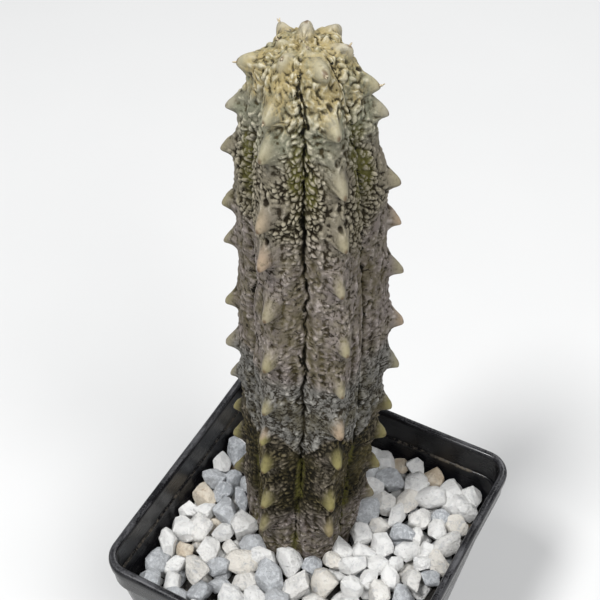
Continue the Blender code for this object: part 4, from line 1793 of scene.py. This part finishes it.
    def build(self) -> bpy.types.Object:
        """Builds the bed, the hidden layer and the top layer.

        Returns:
            The top layer, the last piece made.
        """
        add_piece("grit_bed", self.grit(), StoneGrit().material())
        marble = MarbleStone().material()
        draw = random.Random(self.under_seed)
        spots, radii = self.spread(self.under_count, draw)
        levels = self.bed_top - self.under_depth + self.under_lift * radii
        levels = levels + np.array([draw.uniform(-self.under_play, self.under_play) for _ in radii])
        under = self.heap("under_stones", spots, self.under_scale * radii, levels, self.under_spread, draw)
        add_piece("under_stones", under, marble)
        spots, radii = self.spread(self.count, random.Random(self.seed))
        draw = random.Random(self.lift_seed)
        levels = self.bed_top + radii * np.array([draw.uniform(*self.top_lift) for _ in radii])
        top = self.heap("top_stones", spots, radii, levels, self.top_spread, draw)
        return add_piece("top_stones", top, marble, "gravel")


@dataclass
class Studio:
    """Camera, floor and lights."""

    camera_place: Triple = (85.9, -164.7, 325.5)
    camera_down: float = 45.98
    camera_turn: float = 28.43
    lens: float = 83.91
    sensor: float = 36.0
    aim: Triple = (0.0, 0.0, 0.11)
    lights: tuple[tuple[str, Triple, float, float], ...] = (
        ("key", (-0.16, -0.46, 1.05), 0.20, 11.0),
        ("fill", (0.52, -0.30, 0.95), 0.40, 6.5),
        ("back", (0.05, 0.80, 0.75), 0.40, 3.0),
    )
    sky: Colour = (0.92, 0.95, 1.0)
    sky_strength: float = 0.26
    floor_size: float = 3.0

    def camera(self) -> None:
        """The camera at the photograph's viewing angle."""
        data = bpy.data.cameras.new("camera")
        data.sensor_width = self.sensor
        data.lens = self.lens
        data.clip_start = 0.01
        camera = new_object("camera", data)
        camera.location = Vector(self.camera_place) * MM
        tilt, turn = math.radians(90 - self.camera_down), math.radians(self.camera_turn)
        camera.rotation_euler = Euler((tilt, 0.0, turn))
        bpy.context.scene.camera = camera

    def light(self, name: str, place: Triple, size: float, watts: float) -> None:
        """A square soft light that faces the plant.

        Args:
            name: Its name.
            place: Where it hangs, in metres.
            size: Its side, in metres.
            watts: Its power.
        """
        data = bpy.data.lights.new(name, "AREA")
        data.shape = "SQUARE"
        data.size = size
        data.energy = watts
        lamp = new_object(name, data)
        lamp.location = place
        toward = Vector(self.aim) - Vector(place)
        lamp.rotation_euler = toward.to_track_quat("-Z", "Y").to_euler()

    def floor(self) -> None:
        """The floor that the pot stands on."""
        bm = bmesh.new()
        bmesh.ops.create_grid(bm, x_segments=2, y_segments=2, size=self.floor_size)
        floor = new_object("floor", new_mesh("floor", bm))
        floor.data.materials.append(StudioFloor().material())

    def world(self) -> None:
        """Soft light from all round."""
        world = bpy.data.worlds.new("studio")
        world.use_nodes = True
        background = world.node_tree.nodes["Background"]
        background.inputs["Color"].default_value = (*self.sky, 1.0)
        background.inputs["Strength"].default_value = self.sky_strength
        bpy.context.scene.world = world

    def build(self) -> None:
        """Sets up the whole studio."""
        self.camera()
        self.floor()
        for light in self.lights:
            self.light(*light)
        self.world()
        bpy.context.scene.view_settings.view_transform = "Standard"


def main() -> None:
    """Builds every piece in order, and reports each."""
    logging.basicConfig(level=logging.INFO, format="%(message)s")
    noise.seed_set(NOISE_SEED)
    Studio().build()
    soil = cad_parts["soil"]
    soil.data.materials.clear()
    soil.data.materials.append(PottingSoil().material())
    pot = NurseryPot()
    stem = EuphorbiaStem()
    for sub_assembly in (pot, stem, StoneDressing(pot, stem)):
        made = sub_assembly.build()
        logging.info("%s: %d faces", made.name, len(made.data.polygons))
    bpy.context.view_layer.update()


if __name__ == "__main__":
    main()
